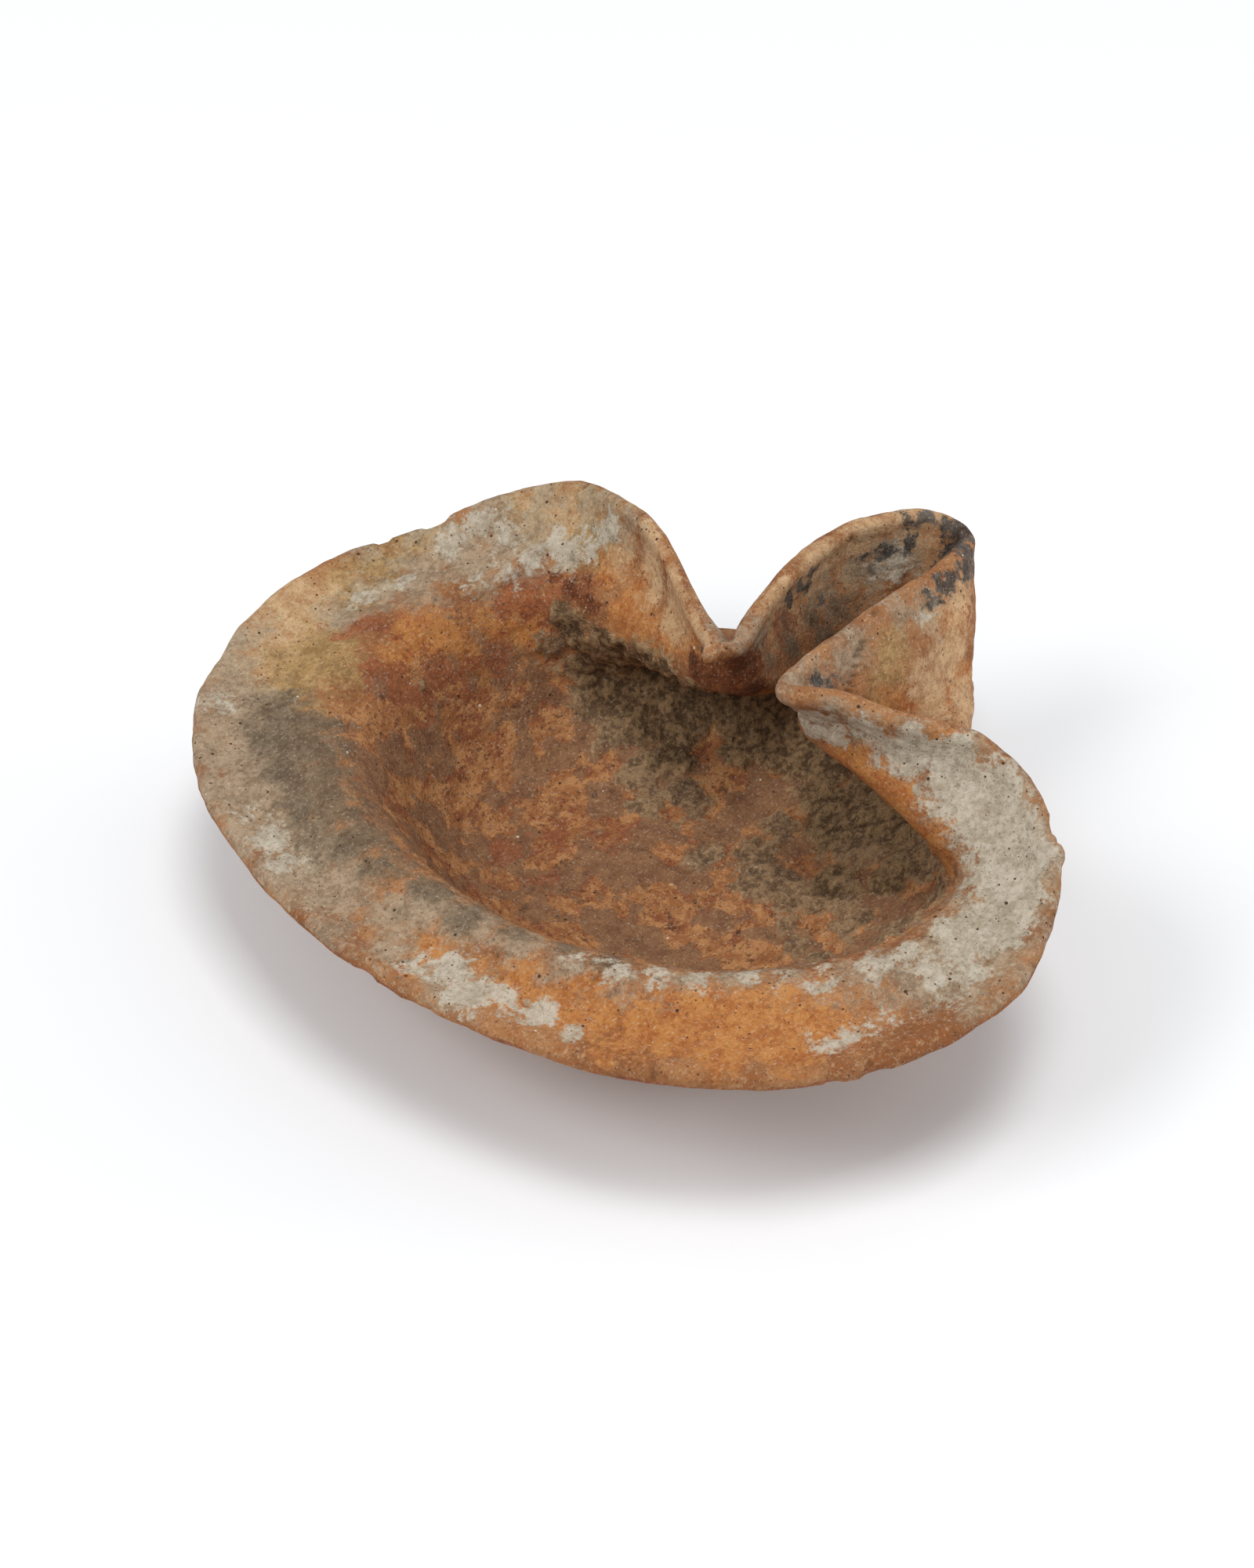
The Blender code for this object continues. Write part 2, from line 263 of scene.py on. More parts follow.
def stations():
    """Angles of all stations on the thrown saucer, and the wall, bend and edge points there."""
    scale = np.array((NOZZLE_REACH, FOLD_HALF_WIDTH, FOLD_HEIGHT)) / np.array(DRAWN)
    front = [np.array([row[ring] for row in FOLDED_FRONT]) * scale for ring in (2, 3, 4)]
    back = [
        (*turned_ellipse(WALL_HALF_LENGTH, WALL_HALF_WIDTH, WALL_SHIFT, WALL_TURN, WALL_RUN),
         np.full(BACK_STATIONS, WALL_HEIGHT)),
        (*turned_ellipse(BEND_HALF_LENGTH, BEND_HALF_WIDTH, BEND_SHIFT, BEND_TURN, BEND_RUN),
         back_height(BEND_HEIGHT, BEND_RISE, BEND_RISE)),
        (*turned_ellipse(RIM_HALF_LENGTH, RIM_HALF_WIDTH, RIM_SHIFT, RIM_TURN, RIM_RUN),
         back_height(RIM_HEIGHT, RIM_RISE_LEFT, RIM_RISE_RIGHT)),
    ]
    angles = [row[1] for row in FOLDED_FRONT] + list(np.linspace(BACK_FROM, BACK_TO, BACK_STATIONS))
    rings = [np.concatenate([f, np.array(b).T]) for f, b in zip(front, back)]
    return np.array(angles).astype(float), rings


# %% [markdown]
# ## A finer skin than the solid's
#
# The solid has large facets. To carry crusts, pits and chips as real relief, the same curves are read again
# about every 0.7 mm. Columns are spaced evenly along the bend and the edge, not by angle, because the folds
# hold a lot of rim in few degrees. A subdivision modifier would round the shape off instead of following it.

# %% The middle of the wall, finely divided
COLUMNS = 640
BODY_ROWS = 85
FOOT_FROM = 30
FLOOR_SHARES = np.linspace(0.0, 1.0, 36)[:-1]
TRIAL_STEPS = 7200

knots, (wall_ring, bend_ring, edge_ring) = stations()
floor_level = FLOOR_THICKNESS - WALL / 2
floor_ring = plan_ellipse(FLOOR_HALF_LENGTH, FLOOR_HALF_WIDTH, wall_ring, floor_level + FLOOR_DISH)
outward = np.cross(edge_ring - bend_ring, np.roll(bend_ring, -1, axis=0) - np.roll(bend_ring, 1, axis=0))
outward /= np.linalg.norm(outward, axis=1)[:, None]
flange_ring = (bend_ring + edge_ring) / 2 - outward * FLANGE_CROWN

trial = np.linspace(knots[0], knots[0] + 360, TRIAL_STEPS + 1)
travel = np.zeros(len(trial))
for ring in (bend_ring, edge_ring):
    steps = np.linalg.norm(np.diff(curve_round(knots, ring, trial), axis=0), axis=1)
    travel[1:] += np.cumsum(steps) / 2
angles = np.interp(np.linspace(0, travel[-1], COLUMNS, endpoint=False), travel, trial)
print(f"round the lamp {travel[-1] * 1000:.0f} mm, a column every {travel[-1] / COLUMNS * 1000:.2f} mm")

FLOOR_LEAVES = 1.25
across_rings = (floor_ring, wall_ring, bend_ring, flange_ring, edge_ring)
rings = np.stack([curve_round(knots, ring, angles) for ring in across_rings])
leaving = (rings[1] - rings[0]) * (1, 1, 0) * FLOOR_LEAVES / ACROSS[1]
leaving[:, 2] = 2 * FLOOR_DISH / ACROSS[1]
rows = np.linspace(0, 1, BODY_ROWS + 1)
middle = curve_across(np.array(ACROSS), rings, leaving, rows)


# %% [markdown]
# ## Thickness
#
# The clay is 4.6 mm thick and thins to 3 mm at the edge. Moving the middle surface both ways along its
# normals gives the two skins. Where a fold is tighter than the clay is thick, the skins would cross, as real
# clay can't: there it was squeezed thinner, so the depth is lowered step by step until no facet turns over.

# %% Two skins
SQUEEZE_LIMIT = 0.4
SQUEEZE_STEP = 0.15
SQUEEZE_SPREAD = 6
SQUEEZE_ROUNDS = 120
TAPER_FROM = 0.5


def normals_of(grid):
    """Unit normals of the grid, pointing into the bowl and up."""
    around = np.roll(grid, -1, axis=1) - np.roll(grid, 1, axis=1)
    normals = np.cross(np.gradient(grid, axis=0), around)
    normals *= np.sign(normals[0, :, 2].mean())
    return normals / np.linalg.norm(normals, axis=2)[..., None]


def facets(grid):
    """Area vectors of the grid's quads."""
    low, high = grid[:-1], grid[1:]
    return np.cross(np.roll(high, -1, axis=1) - low, high - np.roll(low, -1, axis=1))


def soften(field, times):
    """The field averaged with its neighbours, round the lamp and across the wall, several times."""
    for _ in range(times):
        field = (np.roll(field, 1, axis=1) + 2 * field + np.roll(field, -1, axis=1)) / 4
        padded = np.concatenate([field[:1], field, field[-1:]])
        field = (padded[:-2] + 2 * field + padded[2:]) / 4
    return field


def squeezed(grid, normals, half):
    """How deep each point may go along its normal before a tight fold would turn the skin inside out."""
    flat = facets(grid)
    area = np.sum(flat * flat, axis=2)
    depth = np.broadcast_to(half, grid.shape[:2]).copy()
    for turn in range(SQUEEZE_ROUNDS):
        kept = np.sum(facets(grid + normals * depth[..., None]) * flat, axis=2) / area
        tight = (kept < SQUEEZE_LIMIT).astype(float)
        if not tight.any():
            break
        corners = np.zeros(grid.shape[:2])
        corners[:-1] += tight
        corners[1:] += tight
        corners = np.clip(corners + np.roll(corners, 1, axis=1), 0, 1)
        spread = soften(corners, SQUEEZE_SPREAD)
        depth *= 1 - SQUEEZE_STEP * np.clip(spread * 3, 0, 1)
    print(f"squeezed in {turn} rounds, thinnest half {depth.min() * 1000:.2f} mm")
    return depth


normals = normals_of(middle)
taper = np.clip((rows - TAPER_FROM) / (1 - TAPER_FROM), 0, 1)
half = ((WALL + (RIM_EDGE - WALL) * taper) / 2)[:, None]
depth_in = squeezed(middle, normals, half)
depth_out = squeezed(middle, -normals, half)
inside = middle + normals * depth_in[..., None]
outside = middle - normals * depth_out[..., None]

# %% [markdown]
# ## One closed net
#
# The rings are laid in one order: floor, up the inside, over the rolled edge, down the outside, under the
# foot. Near the middle of the floor and on the outside fewer columns will do, so the count is halved where
# needed.

# %% Rings in order
ROLL_STEPS = 7
FOOT_ROWS = 12
BASE_RINGS = 9
FOOT_LEAVES = 25
FOOT_ARRIVES = (1.4, 1.4, 0.6)
FLOOR_COLUMNS = ((0.85, 320), (0.45, 160), (0.0, 80))


def thinned(ring, count):
    """A ring with only count of its points, evenly picked."""
    return ring[::len(ring) // count]


lip = middle[-1] - middle[-2]
lip /= np.linalg.norm(lip, axis=1)[:, None]
layers = []
floor_inside = inside[0]
floor_centre = np.array((0, 0, floor_level + WALL / 2))
for share in FLOOR_SHARES[1:]:
    count = next(n for limit, n in FLOOR_COLUMNS if share >= limit)
    ring = thinned(floor_inside, count)
    flat = floor_centre[:2] + (ring[:, :2] - floor_centre[:2]) * share
    height = floor_centre[2] + (ring[:, 2] - floor_centre[2]) * share ** 2
    layers.append((np.column_stack([flat, height]), "floor", share - 1))
for row, ring in zip(rows, inside):
    layers.append((ring, "inside", row))
for angle in np.linspace(0, math.pi, ROLL_STEPS + 2)[1:-1]:
    depth = depth_in[-1] if angle < math.pi / 2 else depth_out[-1]
    toward = normals[-1] * (depth * math.cos(angle))[:, None]
    layers.append((middle[-1] + lip * RIM_EDGE / 2 * math.sin(angle) + toward, "roll", 1.0))
for row, ring in zip(rows[:FOOT_FROM - 1:-1], outside[:FOOT_FROM - 1:-1]):
    layers.append((thinned(ring, COLUMNS // 2), "outside", row))

start = layers[-1][0]
going_down = (start - thinned(outside[FOOT_FROM + 1], COLUMNS // 2)) * FOOT_LEAVES
foot_toward = thinned(middle[FOOT_FROM], COLUMNS // 2)
foot = plan_ellipse(BASE_HALF_LENGTH, BASE_HALF_WIDTH, foot_toward, 0.0)
arriving = (foot - start) * FOOT_ARRIVES
for s in np.linspace(0, 1, FOOT_ROWS + 1)[1:]:
    ring = ((2 * s ** 3 - 3 * s ** 2 + 1) * start + (s ** 3 - 2 * s ** 2 + s) * going_down
            + (3 * s ** 2 - 2 * s ** 3) * foot + (s ** 3 - s ** 2) * arriving)
    layers.append((ring, "foot", 0.0))
for share in np.linspace(1, 0, BASE_RINGS + 2)[1:-1]:
    count = COLUMNS // 4 if share > 0.5 else COLUMNS // 8
    layers.append((thinned(foot, count) * (share, share, 1), "base", 0.0))
print(len(layers), "rings from the bowl's centre to the middle of the underside")


# %% [markdown]
# ## Faces between the rings
#
# Two rings of the same count are joined by four-cornered faces. Where the count halves, three triangles span
# every two steps. All faces turn the same way, so the shell has one outside. Every face is then split into
# triangles, here and once, and the volume is measured on them.

# %% Points and faces of the shell
def join(first, count, second, other):
    """Faces between two rings of the same count, or with one ring of half the other's count."""
    faces = []
    if count == other:
        for i in range(count):
            j = (i + 1) % count
            faces.append((first + i, first + j, second + j, second + i))
    elif count < other:
        for i in range(count):
            j = (i + 1) % count
            a, b, c = 2 * i, 2 * i + 1, (2 * i + 2) % other
            faces += [(first + i, second + b, second + a), (first + i, first + j, second + b),
                      (first + j, second + c, second + b)]
    else:
        for i in range(other):
            j = (i + 1) % other
            a, b, c = 2 * i, 2 * i + 1, (2 * i + 2) % count
            faces += [(first + a, first + b, second + i), (first + b, second + j, second + i),
                      (first + b, first + c, second + j)]
    return faces


points = [floor_centre[None]]
faces = []
starts = []
place = 1
for ring, part, across in layers:
    starts.append(place)
    place += len(ring)
    points.append(ring)
points.append(np.array([[0, 0, 0.0]]))
points = np.concatenate(points)
last = len(points) - 1
ring_sizes = [len(ring) for ring, part, across in layers]
for i in range(ring_sizes[0]):
    faces.append((0, starts[0] + (i + 1) % ring_sizes[0], starts[0] + i))
for k in range(len(layers) - 1):
    faces += join(starts[k], ring_sizes[k], starts[k + 1], ring_sizes[k + 1])
for i in range(ring_sizes[-1]):
    faces.append((last, starts[-1] + i, starts[-1] + (i + 1) % ring_sizes[-1]))

triangles = []
for face in faces:
    triangles.append(face[:3])
    if len(face) == 4:
        triangles.append((face[0], face[2], face[3]))
triangles = np.array(triangles)
corner = points[triangles]
turning = np.cross(corner[:, 1] - corner[:, 0], corner[:, 2] - corner[:, 0])
volume = np.sum(corner[:, 0] * turning) / 6
if volume < 0:
    triangles = triangles[:, ::-1]
print(f"{len(points)} points, {len(triangles)} triangles, {abs(volume) * 1e6:.1f} cubic centimetres")

# %% [markdown]
# ## No face crosses another
#
# Deep in a crease the two sides of the fold press on each other, and steep crumbs can lean into their
# neighbours. Real clay gives way there. A tree of all faces finds the pairs that cross, and their points are
# drawn back, a little at a time, toward the place they came from: here the middle of the wall, and later the
# smooth skin under the relief.

# %% Drawing back what crosses
CROSSING_ROUNDS = 20
DRAWN_BACK = 0.2
REACH_ROUNDS, REACH_SHARE = 2, 0.7


def without_crossings(home, moved):
    """The moved points, drawn back toward home wherever faces of the shell would cross."""
    corners = [set(triangle) for triangle in triangles.tolist()]
    kept = np.ones(len(moved))
    for turn in range(CROSSING_ROUNDS):
        placed = home + (moved - home) * kept[:, None]
        tree = BVHTree.FromPolygons(placed.tolist(), triangles.tolist())
        apart = [(a, b) for a, b in tree.overlap(tree) if not corners[a] & corners[b]]
        crossing = [k for pair in apart for k in pair]
        if not crossing:
            break
        touched = np.zeros(len(moved))
        touched[triangles[crossing]] = 1
        for _ in range(REACH_ROUNDS):
            spread = np.repeat(touched[triangles].max(axis=1) * REACH_SHARE, 3)
            np.maximum.at(touched, triangles.ravel(), spread)
        kept *= 1 - DRAWN_BACK * touched
    print(f"crossing faces drawn back in {turn} rounds, {len(crossing)} left, least kept {kept.min():.2f}")
    return placed


home = points.copy()
for (ring, part, across), first in zip(layers, starts):
    if part in ("inside", "outside"):
        row = int(round(across * BODY_ROWS))
        home[first:first + len(ring)] = thinned(middle[row], len(ring))
points = without_crossings(home, points)


# %% [markdown]
# ## Where each point is
#
# To lay a finish or a chip somewhere, each point must know its place on the thrown saucer: its part of the
# shell, its angle, how far across it lies from the floor (0) to the edge (1), and which way is out of the
# clay there. It also keeps how much the fold squeezed it, so that relief stays low in the creases.

# %% Part, angle, share across and normal of each point
def skin_normals(points):
    """Unit normals of the shell at its points, pointing out of the clay."""
    corner = points[triangles]
    turning = np.cross(corner[:, 1] - corner[:, 0], corner[:, 2] - corner[:, 0])
    total = np.zeros_like(points)
    for k in range(3):
        np.add.at(total, triangles[:, k], turning)
    return total / np.maximum(np.linalg.norm(total, axis=1), 1e-12)[:, None]


clay_normal = skin_normals(points)
parts = [[part] * len(ring) for ring, part, across in layers]
part_of = np.concatenate([["floor"], *parts, ["base"]])
shares = [[across] * len(ring) for ring, part, across in layers]
across_of = np.concatenate([[-1.0], *shares, [0.0]])
ring_angles = [thinned(angles, len(ring)) for ring, part, across in layers]
angle_of = np.concatenate([[0.0], *ring_angles, [0.0]])
in_mm = points * 1000
is_outer = np.isin(part_of, ("outside", "foot", "base"))
squeeze = np.ones(len(points))
for (ring, part, across), first in zip(layers, starts):
    if part in ("inside", "outside"):
        row = int(round(across * BODY_ROWS))
        depth = depth_in if part == "inside" else depth_out
        squeeze[first:first + len(ring)] = thinned(depth[row] / half[row, 0], len(ring))
print("most squeezed:", round(float(squeeze.min()), 2))


# %% [markdown]
# ## Where each finish lies
#
# Lime, crust, soot and stains are not even coats: each lies in patches. A patch has a place on the thrown
# saucer: inside, edge or outside, then spots with an angle, how far across from floor (0) to edge (1), and a
# radius in millimetres. On the floor the second number is negative, down to -1 at the centre. The patches of
# one finish make a field: how many millimetres inside the finish each point is, with an outline that a noise
# makes wander. Painting the mesh by hand would also do, but a list of patches can be read, corrected and
# repeated.

# %% Fields from patches
IN, EDGE, OUT = 1, 0, -1
FAR_OUTSIDE = -6.0
SAME_SIDE = 0.1
MM_PER_DEGREE, MM_FLOOR_TO_EDGE = 0.5, 60
fields = {}


def rough(points, size, octaves=4, seed=0.0):
    """Noise at points in mm, mostly within -1 to 1, with grains size mm across; a seed gives another one."""
    scaled = points / size + (seed * 7.3, seed * 3.1, seed * 11.7)
    return np.array([noise.fractal(Vector(p), 1.0, 2.0, octaves) for p in scaled])


def spot_on_skin(side, angle, across):
    """Index of the shell's point nearest to a place on the thrown saucer, on its inside, edge or outside."""
    apart = np.abs((angle_of - angle + 180) % 360 - 180)
    far = apart * MM_PER_DEGREE + np.abs(across_of - across) * MM_FLOOR_TO_EDGE
    allowed = {IN: ~is_outer & (part_of != "roll"), EDGE: part_of == "roll", OUT: is_outer}[side]
    return int(np.argmin(np.where(allowed, far, np.inf)))


def lay_finish(name, wandering, wander_size, *patches):
    """Stores how far inside the finish each point is, in mm; the outline wanders by so many mm."""
    field = np.full(len(points), FAR_OUTSIDE)
    for place, side, *spots in patches:
        for angle, across, radius in spots:
            k = spot_on_skin(side, angle, across)
            distance = np.linalg.norm(in_mm - in_mm[k], axis=1)
            facing = clay_normal @ clay_normal[k] > SAME_SIDE
            field = np.where(facing, np.maximum(field, radius - distance), field)
    seed = 1.0 + len(fields)
    near = field > FAR_OUTSIDE + 0.1
    field[near] += wandering * rough(in_mm[near], wander_size, 2, seed)
    fields[name] = field
    print(f"{name}: {len(patches)} patches, {np.mean(field > 0) * 100:.1f}% of the points")


# %% [markdown]
# ## Orange clay
#
# Where the fire had most air, the iron in the clay turned a clear orange: on the near flange, on the bends
# of both lobes and on the wall under the far flange.

# %% Orange clay in patches
lay_finish(
    "bright", 3, 6,
    ("right side of the nozzle", OUT, (-28, .72, 3), (-31, .74, 3), (-26, .66, 3), (-15, .72, 4),
     (-13, .86, 3)),
    ("right bend", IN, (-50, .64, 3), (-52, .73, 3), (-55, .78, 3.5), (-57, .66, 4), (-59, .71, 4.5),
     (-64, .66, 5), (-68, .62, 5), (-72, .60, 4)),
    ("far wall", IN, (94, .60, 3.5), (100, .62, 3.5), (83, .55, 4), (78, .52, 4), (107, .58, 3),
     (90, .50, 3)),
    ("left lobe's wall", IN, (66, .79, 4), (60, .78, 4), (54, .74, 3.5), (62, .70, 3), (57, .68, 3)),
    ("near flange", IN, (-172, .88, 3), (-163, .80, 5), (-154, .80, 6), (-145, .80, 7), (-135, .80, 7),
     (-126, .79, 6), (-148, .92, 4), (-138, .92, 4), (-130, .93, 4)),
    ("right lobe's edge", IN, (-58, .97, 2), (-63, .98, 2), (-54, .90, 1.6)),
    ("nose of the left fold", IN, (46, .90, 4), (50, .84, 4)),
)

# %% [markdown]
# ## Buff clay
#
# Where smoke held the air back in the kiln, the clay stayed a greenish buff: on the far left flange, along
# the far rim and on the right side of the nozzle.

# %% Buff clay in patches
lay_finish(
    "buff", 3, 7,
    ("far left flange", IN, (122, .81, 6), (126, .76, 6), (126, .88, 5), (118, .80, 5), (121, .70, 4),
     (113, .87, 5), (105, .87, 5)),
    ("far flange", IN, (98, .92, 5), (92, .95, 4), (80, .95, 5), (77, .91, 6), (78, .97, 4), (72, .97, 5),
     (70, .86, 5), (66, .94, 4), (74, .86, 4)),
    ("left lobe, behind", OUT, (75, .96, 5), (66, .96, 4), (84, .97, 4)),
    ("right side of the nozzle", OUT, (-24, .93, 1.8), (-27, .90, 2.6), (-29, .86, 2.8), (-31, .80, 2.4)),
)

# %% [markdown]
# ## Pale, rubbed clay, and painted light on the left lobe
#
# Handling and weather rubbed the lips and the crests of the lobes pale. It never covers fully, so the clay's
# own shades show through it. On the inner flank of the left lobe, which lies in shade, it is painted light.

# %% Pale, rubbed clay and painted light in patches
lay_finish(
    "pale", 2, 5,
    ("far left edge", IN, (121, .97, 6), (113, .94, 6), (128, .96, 5)),
    ("right side of the nozzle", OUT, (-18, .92, 3.4), (-17, .80, 5), (-23, .76, 4), (-23, .68, 5),
     (-18, .58, 4), (-12, .88, 3.4)),
    ("left lip", IN, (22, .94, 5), (14, .95, 4), (29, .95, 5), (18, .90, 4), (35, .92, 3), (31, .84, 3),
     (9, .92, 3)),
    ("left lip, behind", OUT, (22, .97, 4), (14, .98, 3), (29, .97, 4), (34, .93, 3)),
    ("left lip's edge", EDGE, (34, 1, 4), (28, 1, 4), (22, 1, 4), (16, 1, 4), (10, 1, 3)),
    ("left lobe's flank", OUT, (56, .86, 6), (60, .92, 5), (50, .88, 5), (66, .96, 4), (52, .78, 4)),
    ("left lobe's edge", EDGE, (46, 1, 3), (52, 1, 4), (58, 1, 4)),
    # The last three spots of the crest, on the left lobe's inner flank, are painted light on a shaded face.
    ("left lobe's crest", IN, (53, .96, 3), (58, .93, 4), (64, .90, 3), (75, .94, 5), (80, .97, 4),
     (51, .93, 4), (53, .86, 4), (57, .84, 3.4)),
)

# %% [markdown]
# ## Rust-brown flecks
#
# Iron in the ground water left red-brown flecks where it stood: in the far corner, on the wall and the floor
# of the bowl, and under the rim. Later its edge is frayed more than that of any other layer, so it looks
# flaked.

# %% Rust-brown flecks in patches
lay_finish(
    "rust", 2.5, 3,
    ("far corner", IN, (76, .69, 3.6), (72, .67, 3.6), (74, .61, 3.4), (69, .72, 2.6), (80, .62, 2.6)),
    ("far wall", IN, (112, .60, 3), (110, .54, 3), (106, .48, 3), (98, .50, 3), (92, .46, 3),
     (92, .40, 2.5), (85, .45, 2.5), (104, .67, 2.4), (108, .73, 3.4)),
    ("floor", IN, (95, -.20, 2.5), (70, -.35, 2.5), (125, 0, 2.2), (150, .12, 2), (-170, .10, 2),
     (140, -.30, 2)),
    ("under the near edge", OUT, (-175, .99, 4), (-160, .99, 5), (-145, .99, 5), (-128, .99, 4),
     (-110, .99, 4), (-95, .99, 4)),
    ("right edge", OUT, (-80, .97, 2.4), (-86, .98, 3), (-92, .98, 3)),
    ("right side of the nozzle", OUT, (-11, .84, 1.4), (-36, .86, 1.8)),
    ("left lip", IN, (33.5, .88, 2), (32, .84, 1.8), (36, .90, 1.6)),
)

# %% [markdown]
# ## Dust of the soil
#
# A grey-brown veil of dried soil sits in the pores of the flange and along the edges. It has no clear
# outline on the real lamp, so its field gets the softest edge later.

# %% Dust of the soil in patches
lay_finish(
    "dust", 3, 4,
    ("left flange", IN, (135, .93, 6), (140, .90, 7), (146, .88, 7), (153, .88, 7), (160, .88, 7),
     (167, .88, 7), (173, .86, 6), (179, .79, 4), (-176, .95, 3)),
    ("left edge", EDGE, (124, 1, 4), (131, 1, 5), (138, 1, 5), (146, 1, 5), (154, 1, 5), (162, 1, 5),
     (170, 1, 5), (178, 1, 3.4), (-168, 1, 2.4)),
    ("far edge", EDGE, (99, 1, 2.4), (92, 1, 3), (85, 1, 4), (78, 1, 3), (70, 1, 3.4), (64, 1, 3)),
    ("right edge", EDGE, (-50, 1, 2), (-58, 1, 2), (-66, 1, 2.6), (-73, 1, 3), (-79, 1, 3.4), (-97, 1, 3),
     (-106, 1, 2)),
    ("right lip's edge", EDGE, (-18, 1, 2.4), (-24, 1, 3), (-30, 1, 3), (-36, 1, 3), (-41, 1, 3)),
    ("near bend", IN, (180, .72, 4), (-173, .70, 4), (-166, .68, 3.6), (-158, .68, 3.4), (-150, .68, 3),
     (-142, .66, 2.6), (-134, .64, 2.4), (-126, .66, 2.4), (-118, .70, 3), (-110, .72, 4)),
    ("near flange", IN, (-170, .92, 3), (-165, .93, 3)),
    ("right flange", IN, (-103, .76, 6), (-97, .78, 7), (-96, .90, 5), (-104, .88, 5), (-110, .80, 4)),
    ("right lobe", IN, (-90, .80, 8), (-82, .84, 8), (-74, .86, 7), (-67, .86, 6), (-60, .90, 4.5),
     (-54, .94, 3.4)),
    ("far flange", IN, (108, .80, 3), (99, .80, 4.5), (93, .80, 6), (87, .82, 7), (82, .84, 6),
     (78, .80, 5), (88, .92, 5), (84, .96, 4), (95, .90, 3)),
    ("left lobe", IN, (68, .92, 4), (66, .96, 3.4)),
    ("nozzle, right lip", OUT, (-30, .98, 3), (-22, 1, 2.5), (-38, .96, 3), (-42, .98, 3), (-34, .95, 3),
     (-19, .94, 2.2)),
    ("nozzle, right lip within", IN, (-20, .98, 2.5), (-27, .98, 2.5), (-33, .98, 2.5), (-38, .97, 3)),
    ("nozzle, left lip", IN, (18, .85, 3.5), (13, .86, 3.5), (26, .82, 2.5), (37, .95, 3)),
    ("notch", OUT, (40, .93, 3), (44, .96, 3), (36, .90, 2)),
)

# %% [markdown]
# ## Grey stain
#
# A darker grey-brown patch runs over the left flange and along its bend, where wet soil lay against the
# clay. The inside of the nozzle has one too.

# %% Grey stain in patches
lay_finish(
    "stain", 2.5, 5,
    ("left flange", IN, (135, .84, 4), (135, .78, 5), (136, .71, 4.5), (142, .71, 5.5), (141, .80, 4),
     (150, .70, 5.5), (147, .78, 4.5), (157, .70, 5), (155, .78, 3.5)),
    ("left bend", IN, (164, .69, 4.4), (163, .76, 3), (171, .68, 4), (178, .66, 3.6), (-175, .65, 3.2),
     (-168, .63, 2.6), (-160, .64, 2.2), (-153, .63, 2)),
    ("nozzle channel", IN, (28, .76, 2.6), (23, .74, 2.4), (32, .78, 2.4), (26, .70, 3), (36, .78, 2),
     (20, .72, 2)),
)

# %% [markdown]
# ## Oil-soaked brown
#
# Oil soaked into the nose of the left fold and into the far corner, and left the deepest red-brown of the
# lamp there.

# %% Oil-soaked brown in patches
lay_finish(
    "deep", 1.2, 2,
    ("nose of the left fold", IN, (43, .76, 3.4), (46, .74, 2.8), (41, .70, 3), (40, .80, 3),
     (48, .73, 2)),
    ("far corner", IN, (70.5, .69, 2), (68, .665, 2), (73, .705, 1.6)),
)

# %% [markdown]
# ## Lime crust
#
# Ground water leaves lime behind when it dries: a whitish crust, broad on the right lobe and flange, and in
# flecks on the near rim, the far flange and the lips.

# %% Lime crust in patches
lay_finish(
    "lime", 2.4, 3.5,
    ("right fold, on its nose", IN, (-41, .92, 2.6), (-43, .84, 2.6), (-47, .90, 3), (-48, .80, 2.4),
     (-51, .90, 2.4), (-53, .97, 2), (-46, .82, 2.8), (-45, .91, 2.6), (-44, .77, 2)),
    ("right fold, along the lobe", IN, (-55, .92, 2.6), (-57, .86, 3), (-60, .88, 3.6)),
    ("right lobe", IN, (-65, .86, 5), (-69, .84, 5.4), (-73, .82, 6), (-79, .80, 6.5), (-72, .94, 3.4),
     (-78, .90, 5), (-75, .74, 3)),
    ("right flange", IN, (-85, .80, 6.5), (-91, .79, 5.4), (-96, .77, 4.2), (-90, .90, 3.6),
     (-84, .91, 4), (-87, .72, 3)),
    ("right flange, flecks", IN, (-101, .86, 2.8), (-101, .76, 3), (-106, .78, 2.4), (-107, .68, 2),
     (-112, .68, 2), (-107, .90, 1.6)),
    ("near rim, right", IN, (-122, .89, 1.8), (-119, .89, 1.6), (-125, .90, 1.4), (-116, .87, 1)),
    ("near bend", IN, (-158, .67, 1.2), (-152, .66, 1.6), (-146, .65, 1.8), (-140, .65, 1.6),
     (-133, .64, 1.4), (-127, .64, 1.2), (-121, .67, 1.4)),
    ("near rim, left", IN, (-169, .88, 2.8), (-166, .91, 3.4), (-164, .93, 2.8), (-163, .86, 2),
     (-159, .84, 1.2), (-158, .90, 1.6), (-154, .91, 1), (-173, .90, 2)),
    ("left flange, edge", IN, (158, .92, 1.6), (162, .93, 2.6), (166, .91, 1.8), (137, .97, 1)),
    ("far flange", IN, (85, .94, 2.6), (88, .91, 2.4), (103, .82, 1.6), (97, .80, 1.6), (82, .89, 2)),
    ("far corner, crusted edge", IN, (85, .665, 1.4), (81, .68, 1.8), (78, .73, 2), (76, .775, 2),
     (74, .80, 2), (71.5, .80, 2), (70, .83, 2), (68, .90, 2.4), (66.5, .94, 2.4)),
    ("nozzle, left lip", IN, (18, .86, 1.8), (15, .87, 2.2), (12.5, .88, 1.8), (13, .82, 1.4)),
    ("nozzle, right lip", OUT, (-20, .92, 1), (-19, .95, .9)),
)

# %% [markdown]
# ## Silt
#
# Fine earth stuck to the floor and the right wall of the bowl in a thin layer, rough but lower than the
# crust.

